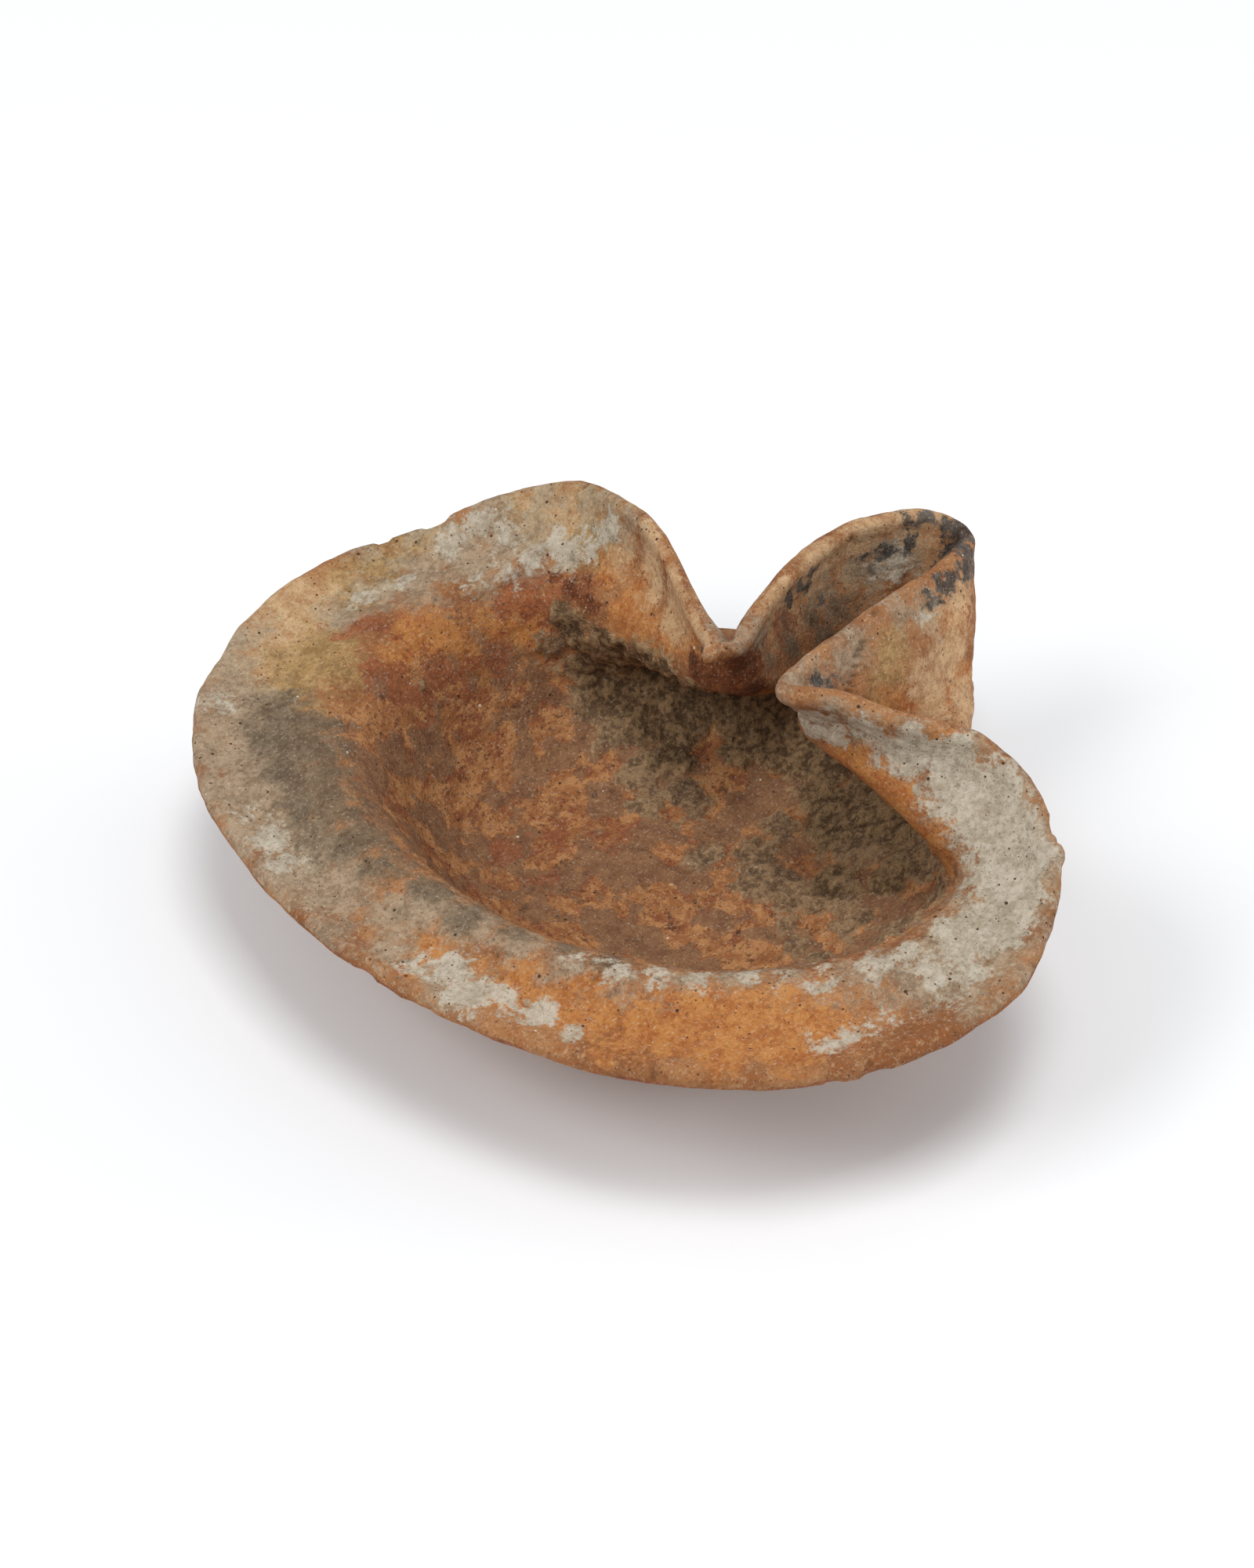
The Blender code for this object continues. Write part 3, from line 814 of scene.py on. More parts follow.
# %% Silt in patches
lay_finish(
    "silt", 2.2, 4.5,
    ("middle of the floor", IN, (-25, -.20, 4), (-10, -.10, 4), (7, -.30, 3), (-40, -.10, 4),
     (-53, -.08, 4)),
    ("right floor", IN, (-60, .05, 5), (-72, .08, 4), (-80, .20, 4), (-88, .35, 3.5), (-20, .10, 4),
     (-35, .10, 5), (-45, .15, 5), (-55, .20, 5), (-5, .05, 3)),
    ("right wall", IN, (-95, .50, 3.5), (-85, .45, 4), (-75, .40, 5), (-65, .30, 5), (-65, .50, 4),
     (-55, .45, 5), (-45, .35, 5), (-30, .25, 5), (-104, .55, 2.4), (-98, .40, 2.4)),
    ("round the dark crust", IN, (60, .16, 4), (52, .06, 4), (45, 0, 3.6), (36, .02, 4), (65, .24, 4),
     (70, .40, 3.5), (73, .50, 2.6)),
    ("small flakes", IN, (-86, .02, 1.8), (-80, -.12, 1.6), (-100, .30, 1.6), (-70, -.20, 2),
     (104, .50, 1), (-125, .30, 1)),
)

# %% [markdown]
# ## Burial crust, and painted shade under the folds
#
# Earth set hard in the far corner, under the folds and over the right side of the floor. It is the thickest
# and roughest layer. Under the lobe, under the folds and along the right wall its dark is also painted
# shade: the shadow that the folds cast there.

# %% Burial crust and painted shade in patches
lay_finish(
    "crust", 1.6, 4.5,
    # Under the lobe, under the folds and along the right wall these patches are also the folds' painted
    # shade.
    ("far corner, under the lobe", IN, (70, .60, 3.2), (68, .54, 3.4), (64, .56, 3.6), (60, .56, 3.6),
     (56, .60, 4), (52, .62, 3.6), (48, .60, 4), (66, .44, 4), (62, .46, 4), (58, .44, 5)),
    ("under the left fold", IN, (54, .40, 6), (50, .36, 6), (46, .34, 6), (64, .34, 4), (60, .28, 5),
     (55, .22, 5.5), (50, .18, 5.5), (44, .18, 6), (38, .22, 6), (44, .10, 3.6)),
    ("under the folds", IN, (29, .17, 5), (20, .18, 5), (14.5, .20, 5), (6.8, .19, 5), (-5, .12, 4.4),
     (-20, .08, 4), (-51, .06, 4), (-60, .15, 4), (32, .20, 6), (25, .22, 6), (18, .22, 5), (30, .14, 3),
     (20, .40, 6), (5, .24, 5), (5, .38, 6), (-8, .22, 5)),
    ("right wall", IN, (-20, .26, 5), (-32, .28, 4), (-44, .26, 3.6), (-55, .30, 3.4), (-64, .36, 3),
     (-26, .13, 4.6), (-36, .16, 4.6), (-14, .14, 4), (-46, .18, 4), (-40, .38, 4), (-2, .18, 4)),
)

# %% [markdown]
# ## Bare islands
#
# The crust has come off in a few places, where the red floor shows. These are holes in the crust and the
# silt, not a layer of their own.

# %% Bare islands in patches
lay_finish(
    "bare", 1.6, 2.5,
    ("islands in the crust", IN, (12, .04, 3), (18, .03, 2.6), (8, -.02, 2.6), (22, .01, 2.2),
     (-78, .14, 2.4), (-66, .02, 1.6), (-92, .28, 2.6), (-84, .33, 1.6)),
)

# %% [markdown]
# ## Soot
#
# The flame blackened the tip of the nozzle, its edge and parts of both lips. The patches are small, with the
# finest outlines, and they lie over every other finish.

# %% Soot in patches
lay_finish(
    "soot", 1.4, 1.6,
    ("left lip", IN, (29.5, .96, 1.3), (31, .95, 1.2), (32.2, .94, 1.3), (30, .92, 1), (19.4, .91, 1.4),
     (16, .92, 1.2), (12.6, .93, 1.2), (17.5, .90, 1), (26, .80, 1)),
    ("inside of the tip", IN, (4.8, .88, 1.6), (3.5, .94, 2), (2, .97, 2.2), (-8, .99, 2), (-12, .98, 2),
     (-16, .99, 1.4), (12, .99, .8)),
    ("edge of the tip", EDGE, (14, 1, 1), (11, 1, 1.6), (7, 1, 2), (2, 1, 3), (-4, 1, 3), (-9, 1, 2.6),
     (-13, 1, 2), (-17, 1, 1.4)),
    ("outside of the tip", OUT, (1.3, .99, 3), (0, .95, 2.6), (-5, .98, 2.6), (-8, .97, 2.4),
     (-12, .97, 2.2), (-15, .96, 2), (-18, .955, 1.4), (12, 1, 1.3), (8, 1, 1.6), (15, 1, .9)),
    ("pocket in the right fold", OUT, (-37.5, .95, 1.4), (-36.6, .92, 1.2)),
)

# %% [markdown]
# ## The film and the bowl
#
# Two more fields need no patches. The bowl's red-brown floor is everything that lies inside the bend. The
# film, old burnt oil, lies in it in blotches wherever a noise is high. The bare islands are cut out of the
# crust and the silt.

# %% Film, bowl and islands
BOWL_ENDS, FILM_ENDS, MM_ACROSS = 0.62, 0.60, 45
FILM_REACH, FILM_SIZE, FLECK_SIZE, FILM_MORE = 9, 7, 2.4, 0.02
for name in ("crust", "silt"):
    fields[name] = np.minimum(fields[name], -fields["bare"])
blotches = rough(in_mm, FILM_SIZE, 2, 41) + 0.4 * rough(in_mm, FLECK_SIZE, 1, 42)
film = FILM_REACH * (blotches + FILM_MORE)
fields["film"] = np.minimum(film, np.where(is_outer, FAR_OUTSIDE, (FILM_ENDS - across_of) * MM_ACROSS))
inside_bend = np.clip((BOWL_ENDS - across_of) * MM_ACROSS, FAR_OUTSIDE, -FAR_OUTSIDE)
fields["bowl"] = np.where(is_outer, FAR_OUTSIDE, inside_bend)
for name in ("crust", "silt", "film", "bowl"):
    print(f"{name}: {np.mean(fields[name] > 0) * 100:.1f}% of the points")

# %% [markdown]
# ## Relief of the clay
#
# Everything that catches light at its edge is real relief here: the unevenness of handwork, faint throwing
# ridges, grain and pits. Each is a height in mm along the surface's normal. A bump map would look the same
# in the middle of the lamp but not along its outline.

# %% Handwork, throwing ridges, grain and pits
# lengths along the clay, heights and the sizes of patterns, in mm
FLOOR_LENGTH, WALL_LENGTH = 24, 48
HANDWORK, HANDWORK_SIZE = 0.45, 22
RIDGE, RIDGE_SPACING, RIDGE_WOBBLE = 0.07, 3.6, 15
GRAIN, GRAIN_SIZE = 0.10, 2.4
PIT_DEPTH, PIT_SIZE, PIT_FROM, PIT_TO = 0.4, 1.8, 0.52, 0.75


def ramp(field, low, high):
    """0 below low, 1 above high, smooth between."""
    share = np.clip((field - low) / (high - low), 0, 1)
    return share * share * (3 - 2 * share)


handwork = HANDWORK * rough(in_mm, HANDWORK_SIZE, 2, 21)
turns = np.clip(across_of, 0, 1) * WALL_LENGTH / RIDGE_SPACING
ridges = RIDGE * np.sin(turns * 2 * math.pi + 2 * rough(in_mm, RIDGE_WOBBLE, 2, 22))
grain = GRAIN * rough(in_mm, GRAIN_SIZE, 2, 23)
pitted = ramp(rough(in_mm, PIT_SIZE, 1, 24), PIT_FROM, PIT_TO)
pits = -PIT_DEPTH * pitted
print(f"pits on {np.mean(pitted > 0.5) * 100:.1f}% of the points")

# %% [markdown]
# ## Relief of the crusts
#
# Burial crust is a heap of crumbs: swells of 6 mm carry crumbs of 3 mm and grit of 2 mm. Silt is the same in
# a thinner layer, lime is a low scale and the film is hardly there. Where crust and silt meet, the higher
# one counts.

# %% Heights of crust, silt, lime and film
CRUMB_BASE, CRUMB_LEAST, CRUMB_MOST = 0.35, 0.03, 1.5
LIME, FILM = 0.20, 0.16
crumbs = CRUMB_BASE + 0.35 * rough(in_mm, 6, 2, 28)
crumbs += np.abs(rough(in_mm, 2.8, 1, 25))
crumbs += 0.7 * rough(in_mm, 1.9, 1, 29)
crumbs = np.clip(crumbs, CRUMB_LEAST, CRUMB_MOST)
print("crumbs", np.percentile(crumbs, (5, 25, 50, 75, 95)).round(2), "mm")
crust_height = ramp(fields["crust"], -0.2, 0.6) * crumbs
silt_height = ramp(fields["silt"], -0.1, 0.5) * (0.7 * crumbs + 0.1)
lime_height = ramp(fields["lime"], -0.2, 0.9) * (LIME + 0.22 * rough(in_mm, 2.0, 2, 26))
film_height = FILM * ramp(fields["film"], -0.3, 0.5)
height = handwork + ridges + grain + pits + np.maximum(crust_height, silt_height) + lime_height + film_height

# %% [markdown]
# ## Single lumps
#
# A few lumps stand out on the real lamp and are placed one by one, as low rounded bumps: a pebble in the
# notch between nozzle and left lobe, two lumps of crust, and a flake of lime on the right edge.

# %% Lumps by name
# side, angle, how far across, radius and height in mm
LUMPS = (
    ("pebble stuck in the notch", EDGE, 43.5, 1, 1.5, 2.2),
    ("lump in the crusted edge", IN, 76, .765, 1.6, 0.6),
    ("lump beside it", IN, 71, .79, 1.3, 0.5),
    ("lime flake on the right edge", IN, -80, .97, 1.5, 0.7),
)
for place, side, angle, across, radius, proud in LUMPS:
    k = spot_on_skin(side, angle, across)
    height += proud * ramp(radius - np.linalg.norm(in_mm - in_mm[k], axis=1), 0, radius * 0.7)
print(len(LUMPS), "lumps, the highest", max(lump[-1] for lump in LUMPS), "mm")


# %% [markdown]
# ## The crack and the broken ledge
#
# Two forms run along a line. A crack runs down the outside of the nozzle's right wall, and along the far
# corner the crust of the flange ends in a broken edge above the bowl. Both are paths over the skin, given by
# a few stops, with a height or a depth that falls off to each side. At last all relief is held low where the
# folds squeeze the clay, and the underside stays level.

# %% Crack and ledge
def distance_to_path(side, path):
    """Distance in mm of every point from a path over the skin, given as angles and how far across."""
    stops = [in_mm[spot_on_skin(side, angle, across)] for angle, across in path]
    nearest = np.full(len(points), np.inf)
    for a, b in zip(stops[:-1], stops[1:]):
        along = np.clip((in_mm - a) @ (b - a) / max((b - a) @ (b - a), 1e-6), 0, 1)
        nearest = np.minimum(nearest, np.linalg.norm(in_mm - a - along[:, None] * (b - a), axis=1))
    return nearest


CRACK = ((-29.7, .97), (-31.0, .94), (-31.9, .92), (-33.4, .89), (-34.4, .86), (-34.6, .80))
CRACK_HALF_WIDTH, CRACK_DEPTH = 0.8, 0.6
cracked = ramp(CRACK_HALF_WIDTH - distance_to_path(OUT, CRACK), 0, CRACK_HALF_WIDTH * 0.8) * is_outer
height -= CRACK_DEPTH * cracked

LEDGE = ((88, .655), (85, .66), (82.6, .665), (79.6, .69), (77, .75), (75.3, .785), (73.4, .80), (70.9, .79),
         (69.3, .83))
LEDGE_HALF_WIDTH, LEDGE_HEIGHT = 1.5, 0.9
ledge = ramp(LEDGE_HALF_WIDTH - distance_to_path(IN, LEDGE), 0, LEDGE_HALF_WIDTH * 0.6) * ~is_outer
height += LEDGE_HEIGHT * ledge * (0.8 + 0.6 * rough(in_mm, 3, 1, 33))

FOOT_BLEND = 3
height *= np.clip(squeeze, 0, 1)
height[part_of == "base"] = 0
height[part_of == "foot"] *= ramp(in_mm[part_of == "foot"][:, 2], 0, FOOT_BLEND)
print(f"relief from {height.min():.2f} to {height.max():.2f} mm")

# %% [markdown]
# ## The worn edge
#
# The rim took the knocks. A noise wears it in and out a little, and the chips that show in its outline are
# placed by name. A chip moves the edge in, and a negative one is a place where the edge stands out. Last,
# the whole shell is kept inside the size that the frame gives.

# %% Wear and chips of the edge
# angle, radius in mm along the edge, and how many mm it bites in
CHIPS = (
    ("step on the far rim", 90, 3.0, 0.9),
    ("nick beside it", 96, 1.6, 0.5),
    ("near right rim", -121, 2.6, 0.9),
    ("near right rim, second", -126, 1.6, 0.6),
    ("worn near left rim", -169, 3.5, 0.7),
    ("worn near left rim, second", -176, 2.5, 0.6),
    ("spall beside the right flake", -77.5, 1.6, 0.7),
    ("lime flake that stands out", -81.0, 1.6, -0.9),
    ("fuller left rim", 147, 24.0, -1.3),
)
WEAR, WEAR_UNEVEN, WEAR_SIZE = 0.05, 0.45, 9
MOST_OUT, MOST_IN = -1.4, 2
EDGE_FROM = 0.90
edge_points = middle[-1] * 1000
wear = WEAR + WEAR_UNEVEN * rough(edge_points, WEAR_SIZE, 4, 31)
for place, angle, radius, bite in CHIPS:
    k = int(np.argmin(np.abs((angles - angle + 180) % 360 - 180)))
    distance = np.linalg.norm(edge_points - edge_points[k], axis=1)
    wear += bite * ramp(radius - distance, 0, radius * 0.6)
near_edge = ramp(np.clip(across_of, 0, 1), EDGE_FROM, 1.0) * ~np.isin(part_of, ("foot", "base"))
inward = np.zeros_like(points)
for (ring, part, across), first in zip(layers, starts):
    if part in ("inside", "roll", "outside"):
        inward[first:first + len(ring)] = -thinned(lip * np.clip(wear, MOST_OUT, MOST_IN)[:, None], len(ring))
print("deepest chip", round(float(wear.max()), 2), "mm")

shaped = points + (clay_normal * height[:, None] + inward * near_edge[:, None]) / 1000
low, high = [np.array(corner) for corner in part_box("lamp")]
shaped = without_crossings(points, np.clip(shaped, low, high))

# %% [markdown]
# ## The piece
#
# The shell becomes one mesh. Each finish's field is stored on it as an attribute, a number at every point,
# which the material reads. One attribute holds the wheel's own coordinates in mm: the place in plan, and how
# far a point lies from the centre along the clay, counted larger so that patterns lie along the turns. Smooth
# shading lets light flow over the small triangles.

# %% Build the mesh
fields["crumbs"] = crumbs
fields["pitted"] = np.maximum(pitted, cracked)
mesh = bpy.data.meshes.new("lamp_body")
mesh.from_pydata([tuple(p) for p in shaped], [], [tuple(t) for t in triangles.tolist()])
mesh.update()
mesh.shade_smooth()
for name, field in fields.items():
    attribute = mesh.attributes.new(name, "FLOAT", "POINT")
    attribute.data.foreach_set("value", field.astype(np.float32))
wheel_marks = mesh.attributes.new("wheel", "FLOAT_VECTOR", "POINT")
WHEEL_STRETCH = 1.4
along_floor, along_wall = (1 + across_of) * FLOOR_LENGTH, FLOOR_LENGTH + across_of * WALL_LENGTH
from_centre = np.where(across_of < 0, along_floor, along_wall)
drawn_out = np.column_stack([in_mm[:, 0], in_mm[:, 1], from_centre * WHEEL_STRETCH])
wheel_marks.data.foreach_set("vector", drawn_out.astype(np.float32).ravel())
lamp_body = bpy.data.objects.new("lamp_body", mesh)
bpy.context.scene.collection.objects.link(lamp_body)
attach(lamp_body, "root")
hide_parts("lamp")
print(f"lamp_body: {len(mesh.vertices)} points, {len(mesh.polygons)} triangles")


# %% [markdown]
# ## Colours and nodes
#
# Colours are picked as sRGB hex, as in any paint program, and the shader wants linear light, so one function
# turns them. Another adds a node, sets it and links it, which keeps the recipes short.

# %% Linear colours, and adding a node
def linear(hex_colour):
    """An sRGB hex colour as linear red, green, blue and alpha."""
    channels = [int(hex_colour[i:i + 2], 16) / 255 for i in (1, 3, 5)]
    return (*[c / 12.92 if c <= 0.04045 else ((c + 0.055) / 1.055) ** 2.4 for c in channels], 1.0)


def add(tree, kind, inputs=None, **settings):
    """Adds a node: settings are its own properties, inputs its sockets' values or links."""
    node = tree.nodes.new(kind)
    for name, value in settings.items():
        setattr(node, name, value)
    for socket, value in (inputs or {}).items():
        if isinstance(value, bpy.types.NodeSocket):
            tree.links.new(value, node.inputs[socket])
        else:
            node.inputs[socket].default_value = value
    return node


# %% [markdown]
# ## Fired earthenware
#
# The body is common iron-rich clay, fired in an open kiln to a dull orange. Crushed stone was mixed in, the
# temper, whose dark and pale grains show as specks of up to 0.6 mm. Fired clay has an IOR of about 1.5 and is
# very rough, so it shows no highlights, only soft shading.

# %% Place in the material
PER_MM = 1000.0
MIX_A, MIX_B, MIX_COLOUR = 6, 7, 2
earthenware = bpy.data.materials.new("fired_earthenware")
earthenware.use_nodes = True
tree = earthenware.node_tree
tree.nodes.clear()
place = add(tree, "ShaderNodeTexCoord").outputs["Object"]
wheel_place = add(tree, "ShaderNodeAttribute", attribute_name="wheel").outputs["Vector"]
print("material", earthenware.name, "reads the place in the frame and on the wheel")

# %% [markdown]
# ## Patterns that the shades share
#
# Five noises serve the whole lamp: clouds of 11 mm, mottles, grains, fine dirt, and one that follows the
# wheel. The finest real dirt is smaller still and is drawn coarser here, at 0.45 mm, or it would be lost in
# the picture. Each noise gives a colour, and its red, green and blue are three patterns that don't match, so
# one node does the work of three.

# %% Shared patterns
# where it is read, scale, detail and roughness
NOISES = {
    "clouds": (place, PER_MM / 11, 3.0, 0.55),
    "mottles": (place, PER_MM / 3.2, 5.0, 0.62),
    "grains": (place, PER_MM / 0.9, 4.0, 0.65),
    "fine": (place, PER_MM / 0.45, 3.0, 0.7),
    "turned": (wheel_place, 1 / 3.4, 6.0, 0.68),
}
patterns = {}
for name, (where, scale, detail, roughness) in NOISES.items():
    texture = add(tree, "ShaderNodeTexNoise", {"Vector": where, "Scale": scale, "Detail": detail,
                                               "Roughness": roughness})
    patterns[name] = add(tree, "ShaderNodeSeparateColor", {0: texture.outputs["Color"]}).outputs
mottles, grains, fine = patterns["mottles"], patterns["grains"], patterns["fine"]
clouds, turned = patterns["clouds"], patterns["turned"]
print(len(patterns), "noises give", 3 * len(patterns), "patterns")

# %% [markdown]
# ## The clay and its shades
#
# Bare clay isn't one colour: clouds of lighter and redder clay, then pale and dark grains. Each shade is a
# coat laid over the ones before it, where a pattern rises from a low to a high value, so one list says it
# all. Noise values keep close to 0.5, so a coat from 0.38 to 0.62 is a soft change and one from 0.56 to 0.68
# leaves only spots.

# %% Shades of the bare clay
def coated(colour, coats):
    """Colour with coats laid over it: shade, pattern, where it starts and where it is full, most cover."""
    for shade, pattern, low, high, most in coats:
        share = add(tree, "ShaderNodeMapRange", {"Value": pattern, "From Min": low, "From Max": high,
                                                 "To Max": most}, interpolation_type="SMOOTHSTEP")
        colour = add(tree, "ShaderNodeMix", {0: share.outputs[0], MIX_A: colour, MIX_B: linear(shade)},
                     data_type="RGBA").outputs[MIX_COLOUR]
    return colour


CLAY_COATS = (
    ("#A9754A", clouds[0], 0.38, 0.62, 1.0),
    ("#9A5B31", mottles[0], 0.45, 0.62, 0.6),
    ("#BE956D", grains[0], 0.52, 0.66, 0.6),
    ("#66402A", grains[1], 0.56, 0.68, 0.6),
)
colour = coated(linear("#8A5733"), CLAY_COATS)
print(len(CLAY_COATS), "shades over the bare clay")

# %% [markdown]
# ## The bowl's red-brown floor
#
# Oil and long use darkened the bowl. Rusty and dark flecks lie on it in blotches that are drawn out a little
# round the bowl, the way the wheel turned, so their noise is read in the wheel's own coordinates.

# %% Mottled bowl
BOWL_COATS = (
    ("#BA8454", turned[0], 0.42, 0.58, 1.0),
    ("#85492F", turned[2], 0.53, 0.58, 0.75),
    ("#B28154", grains[0], 0.54, 0.64, 0.4),
    ("#583624", grains[1], 0.56, 0.64, 0.6),
    ("#4E3020", turned[1], 0.61, 0.65, 0.7),
)
bowl = coated(linear("#9C643B"), BOWL_COATS)
print(len(BOWL_COATS), "shades over the bowl's floor")

# %% [markdown]
# ## One layer over another
#
# Each finish covers the ones before it. The bowl's floor and its film come first, then the clay that fire
# and handling coloured, rust, a veil of dust, the grey stain and oil, and over them lime, silt, burial crust
# that also carries the folds' painted shade, and soot. A layer has two shades that a noise mixes, with the
# dark one again in its finest pores, and an edge that two noises fray. Its field is in mm, so the width of
# the frayed edge is in mm too. Crust and silt are pale on top of their crumbs and dark between, so the
# crumbs' height mixes their shades: painted light on the crumbs and painted shade in their hollows, where
# finer dirt lies as well.

# %% Layers, from the clay up
# name: darker shade, lighter shade, fraying of its edge in mm, coarse and fine, softness in mm, cover
LAYERS = (
    ("bowl", None, None, 12, 6, 1.6, 1.0),
    ("film", "#6D4D38", "#8E6A4E", 8, 8, 0.7, 0.75),
    ("bright", "#A65E2A", "#CA8A4A", 10, 8, 2.0, 0.75),
    ("buff", "#8E7144", "#B99765", 10, 6, 3.0, 0.85),
    # pale: rubbed clay, and painted light on the left lobe's shaded inner flank
    ("pale", "#B48A62", "#D8B68C", 10, 8, 2.5, 0.8),
    ("rust", "#7A4129", "#A05E3B", 14, 12, 0.8, 0.8),
    ("dust", "#8A7862", "#B3A086", 12, 10, 3.4, 0.8),
    ("stain", "#5B4D3D", "#7E6C56", 9, 8, 2.4, 0.88),
    ("deep", "#4C2814", "#7A4223", 8, 4, 0.8, 0.92),
    ("lime", "#A89A85", "#C9BEAC", 8, 9, 1.1, 0.9),
    ("silt", "#604A36", "#9E805E", 5, 7, 0.5, 0.93),
    # crust: burial crust, and painted shade under the folds
    ("crust", "#624A31", "#B28F67", 4, 6, 0.5, 0.97),
    ("soot", "#2E2B29", "#605B56", 6, 5, 0.7, 0.92),
)
CRUMBLY = ("silt", "crust")
crumb = add(tree, "ShaderNodeAttribute", attribute_name="crumbs").outputs["Fac"]
covers = {}
for number, (name, dark, light, coarse, finer, softness, cover) in enumerate(LAYERS):
    field = add(tree, "ShaderNodeAttribute", attribute_name=name).outputs["Fac"]
    first, second, third = number % 3, (number + 1) % 3, (number + 2) % 3
    for noises, amount, channel in ((mottles, coarse, first), (grains, finer, second)):
        centred = add(tree, "ShaderNodeMath", {0: noises[channel], 1: 0.5}, operation="SUBTRACT")
        field = add(tree, "ShaderNodeMath", {0: centred.outputs[0], 1: float(amount), 2: field},
                    operation="MULTIPLY_ADD").outputs[0]
    share = add(tree, "ShaderNodeMapRange", {"Value": field, "From Min": -softness, "From Max": softness,
                                             "To Max": cover}, interpolation_type="SMOOTHSTEP")
    covers[name] = share.outputs[0]
    # Crust and silt: the crumbs' height paints light onto the crumbs and shade into the hollows between them,
    # together with the dirt that lies in the hollows.
    if name in CRUMBLY:
        blend = add(tree, "ShaderNodeMath", {0: centred.outputs[0], 1: 5.0, 2: crumb},
                    operation="MULTIPLY_ADD")
        light_from, light_to = -0.2, 1.3
    else:
        blend = add(tree, "ShaderNodeMath", {0: mottles[third], 1: grains[first]}, operation="ADD")
        light_from, light_to = 0.78, 1.18
    coat = bowl
    if dark is not None:
        shades = ((light, blend.outputs[0], light_from, light_to, 1.0), (dark, fine[0], 0.52, 0.70, 0.5))
        coat = coated(linear(dark), shades)
    colour = add(tree, "ShaderNodeMix", {0: covers[name], MIX_A: colour, MIX_B: coat},
                 data_type="RGBA").outputs[MIX_COLOUR]
print(len(LAYERS), "layers over the clay")

# %% [markdown]
# ## Dirt and dry salt in the pores
#
# Over everything lie the finest marks: dark dirt and pale dry salt in spots of half a millimetre. They tie
# the layers together, because the same spots run over all of them. Every pit and the crack are also
# coloured darker.

# %% Fine dirt, salt and dark pits
pit = add(tree, "ShaderNodeAttribute", attribute_name="pitted").outputs["Fac"]
PORE_COATS = (
    ("#40301F", fine[1], 0.53, 0.70, 0.5),
    ("#E6D8C2", fine[2], 0.55, 0.72, 0.35),
    # Every pit and the crack are coloured darker.
    ("#4A3222", pit, 0.0, 1.0, 0.5),
)
colour = coated(colour, PORE_COATS)
print(len(PORE_COATS), "kinds of fine marks")

# %% [markdown]
# ## Temper specks
#
# The crushed stone in the clay shows as specks. A Voronoi texture drops one point in each cell of a grid,
# somewhere at random: near that point is a speck, and each cell's own random colour decides whether it has
# one and how large. Crust and silt hide most of them.

# %% Specks
hidden = add(tree, "ShaderNodeMath", {0: covers["silt"], 1: covers["crust"]}, operation="MAXIMUM")
SPECKS_SHOW = 0.95
shown = add(tree, "ShaderNodeMath", {0: SPECKS_SHOW, 1: hidden.outputs[0]}, operation="SUBTRACT",
            use_clamp=True)
# distance between specks in mm, largest radius as a share of it, share of cells left empty, shade
SPECKS = ((2.0, 0.14, 0.35, "#46301F"), (1.0, 0.20, 0.40, "#5F412D"), (3.4, 0.08, 0.60, "#D8C9B4"))
for cell, radius, empty, shade in SPECKS:
    cells = add(tree, "ShaderNodeTexVoronoi", {"Vector": place, "Scale": PER_MM / cell})
    chance = add(tree, "ShaderNodeSeparateColor", {0: cells.outputs["Color"]})
    size = add(tree, "ShaderNodeMapRange", {"Value": chance.outputs[0], "From Min": empty, "To Max": radius})
    speck = add(tree, "ShaderNodeMath", {0: cells.outputs["Distance"], 1: size.outputs[0]},
                operation="LESS_THAN")
    seen = add(tree, "ShaderNodeMath", {0: speck.outputs[0], 1: shown.outputs[0]}, operation="MULTIPLY")
    colour = add(tree, "ShaderNodeMix", {0: seen.outputs[0], MIX_A: colour, MIX_B: linear(shade)},
                 data_type="RGBA").outputs[MIX_COLOUR]
print(len(SPECKS), "kinds of specks")

# %% [markdown]
# ## Grit, and how the clay takes light
#
# Grit of 0.8 mm and less is only bump: it is too small to show in the outline. It is stronger on the crust
# than on the bare clay. A high roughness and a low specular level make the surface quite dull, so the eye
# reads dry, unglazed clay.

# %% Surface and bump
crust_and_shade_field = add(tree, "ShaderNodeAttribute", attribute_name="crust").outputs["Fac"]
roughened = add(tree, "ShaderNodeMapRange", {"Value": crust_and_shade_field, "From Min": -1.0, "To Min": 0.8,
                                             "To Max": 3.0})
grit = add(tree, "ShaderNodeTexNoise", {"Vector": place, "Scale": PER_MM / 0.8, "Detail": 4.0,
                                        "Roughness": 0.75})
relief = add(tree, "ShaderNodeMath", {0: grit.outputs[0], 1: roughened.outputs[0]}, operation="MULTIPLY")
bump = add(tree, "ShaderNodeBump", {"Height": relief.outputs[0], "Strength": 0.8, "Distance": 0.0007})
shader = add(tree, "ShaderNodeBsdfPrincipled", {"Base Color": colour, "Normal": bump.outputs[0],
                                                "Roughness": 0.92, "IOR": 1.5,
                                                "Specular IOR Level": 0.25})
add(tree, "ShaderNodeOutputMaterial", {"Surface": shader.outputs[0]})
mesh.materials.append(earthenware)
print("fired earthenware:", len(tree.nodes), "nodes")

# %% [markdown]
# ## The sheet under it
#
# The lamp stands on a plain pale sheet, so large that its edge lies outside the camera's view. It is faintly
# cool and dull, so the shadow stays grey and takes only a little of the clay's orange.

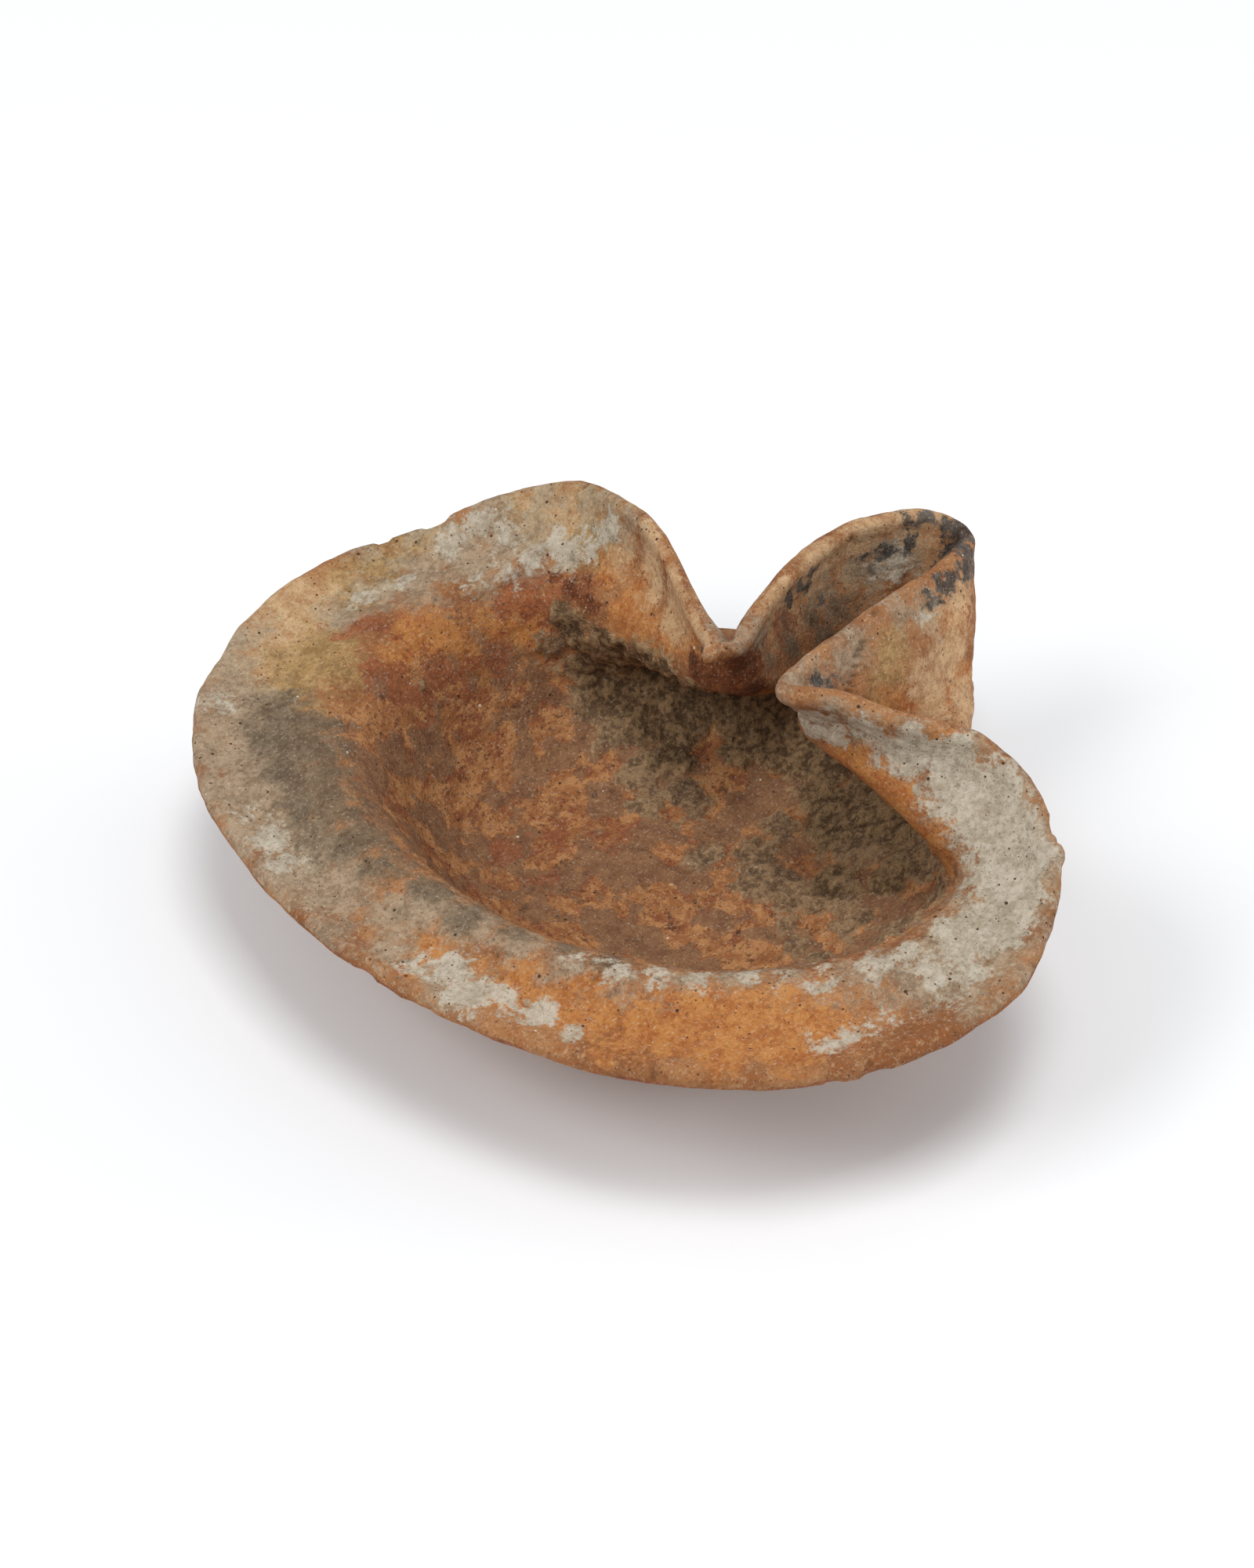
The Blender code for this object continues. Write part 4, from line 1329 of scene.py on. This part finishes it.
# %% Floor
FLOOR_SIZE = 6.0
floor_mesh = bpy.data.meshes.new("floor")
corner_signs = ((-1, -1), (1, -1), (1, 1), (-1, 1))
floor_corners = [(x * FLOOR_SIZE, y * FLOOR_SIZE, 0) for x, y in corner_signs]
floor_mesh.from_pydata(floor_corners, [], [(0, 1, 2, 3)])
floor = bpy.data.objects.new("floor", floor_mesh)
bpy.context.scene.collection.objects.link(floor)
paper = bpy.data.materials.new("white_paper")
paper.use_nodes = True
paper_shader = paper.node_tree.nodes["Principled BSDF"]
paper_shader.inputs["Base Color"].default_value = linear("#F4F5F7")
paper_shader.inputs["Roughness"].default_value = 0.9
paper_shader.inputs["Specular IOR Level"].default_value = 0.1
floor_mesh.materials.append(paper)
print("sheet of", 2 * FLOOR_SIZE, "m")

# %% [markdown]
# ## The light
#
# The light is soft: one large softbox hangs high overhead, and a weaker one stands on each side. An even
# pale sky fills the rest. So the shadow is broad and soft all round, and darkest under the near rim. A sun
# would draw a hard edge that the real lamp doesn't have.

# %% Sky and softboxes
SKY_STRENGTH = 0.48
LIT_SPOT = (0, 0, 0.02)
world = bpy.data.worlds.new("studio")
bpy.context.scene.world = world
world.use_nodes = True
world.node_tree.nodes["Background"].inputs["Color"].default_value = (0.95, 0.985, 1, 1)
world.node_tree.nodes["Background"].inputs["Strength"].default_value = SKY_STRENGTH


def soft_light(name, spot, toward, size, power):
    """A square area light at spot, turned to toward."""
    lamp = bpy.data.lights.new(name, "AREA")
    lamp.shape = "SQUARE"
    lamp.size = size
    lamp.energy = power
    holder = bpy.data.objects.new(name, lamp)
    holder.location = spot
    holder.rotation_euler = (Vector(toward) - Vector(spot)).to_track_quat("-Z", "Y").to_euler()
    bpy.context.scene.collection.objects.link(holder)


# name, where it hangs, its side in metres and its power in watts
SOFTBOXES = (
    ("overhead_softbox", (-0.1, -0.3, 1.95), 0.7, 15.5),
    ("left_softbox", (-1.2, 0.5, 1.3), 0.8, 12.0),
    ("right_softbox", (1.4, -1.1, 0.6), 0.8, 10.0),
)
for name, spot, size, power in SOFTBOXES:
    soft_light(name, spot, LIT_SPOT, size, power)
print(len(SOFTBOXES), "softboxes and a pale sky")

# %% [markdown]
# ## The camera
#
# The camera looks down at the lamp from 40 degrees, as someone does who stands at a table, and a longish
# lens keeps its proportions calm. Place and lens were found by comparing the folds and the rim with the
# photograph. The Standard view shows colours as they are picked.

# %% Camera
VIEW_ELEVATION = math.radians(40)
VIEW_HEADING = math.radians(43)
VIEW_DISTANCE = 0.560
VIEW_TARGET = Vector((0.006, 0.011, 0.020))
SENSOR_WIDTH = 36.0
LENS = 84.6
level = math.cos(VIEW_ELEVATION)
forward = Vector((level * math.cos(VIEW_HEADING), level * math.sin(VIEW_HEADING), -math.sin(VIEW_ELEVATION)))
camera_data = bpy.data.cameras.new("camera")
camera_data.sensor_fit = "AUTO"
camera_data.sensor_width = SENSOR_WIDTH
camera_data.lens = LENS
camera = bpy.data.objects.new("camera", camera_data)
camera.location = VIEW_TARGET - forward * VIEW_DISTANCE
camera.rotation_euler = forward.to_track_quat("-Z", "Y").to_euler()
bpy.context.scene.collection.objects.link(camera)
bpy.context.scene.camera = camera
bpy.context.scene.view_settings.view_transform = "Standard"
print(f"camera {VIEW_DISTANCE:.2f} m from the lamp, lens {LENS} mm")
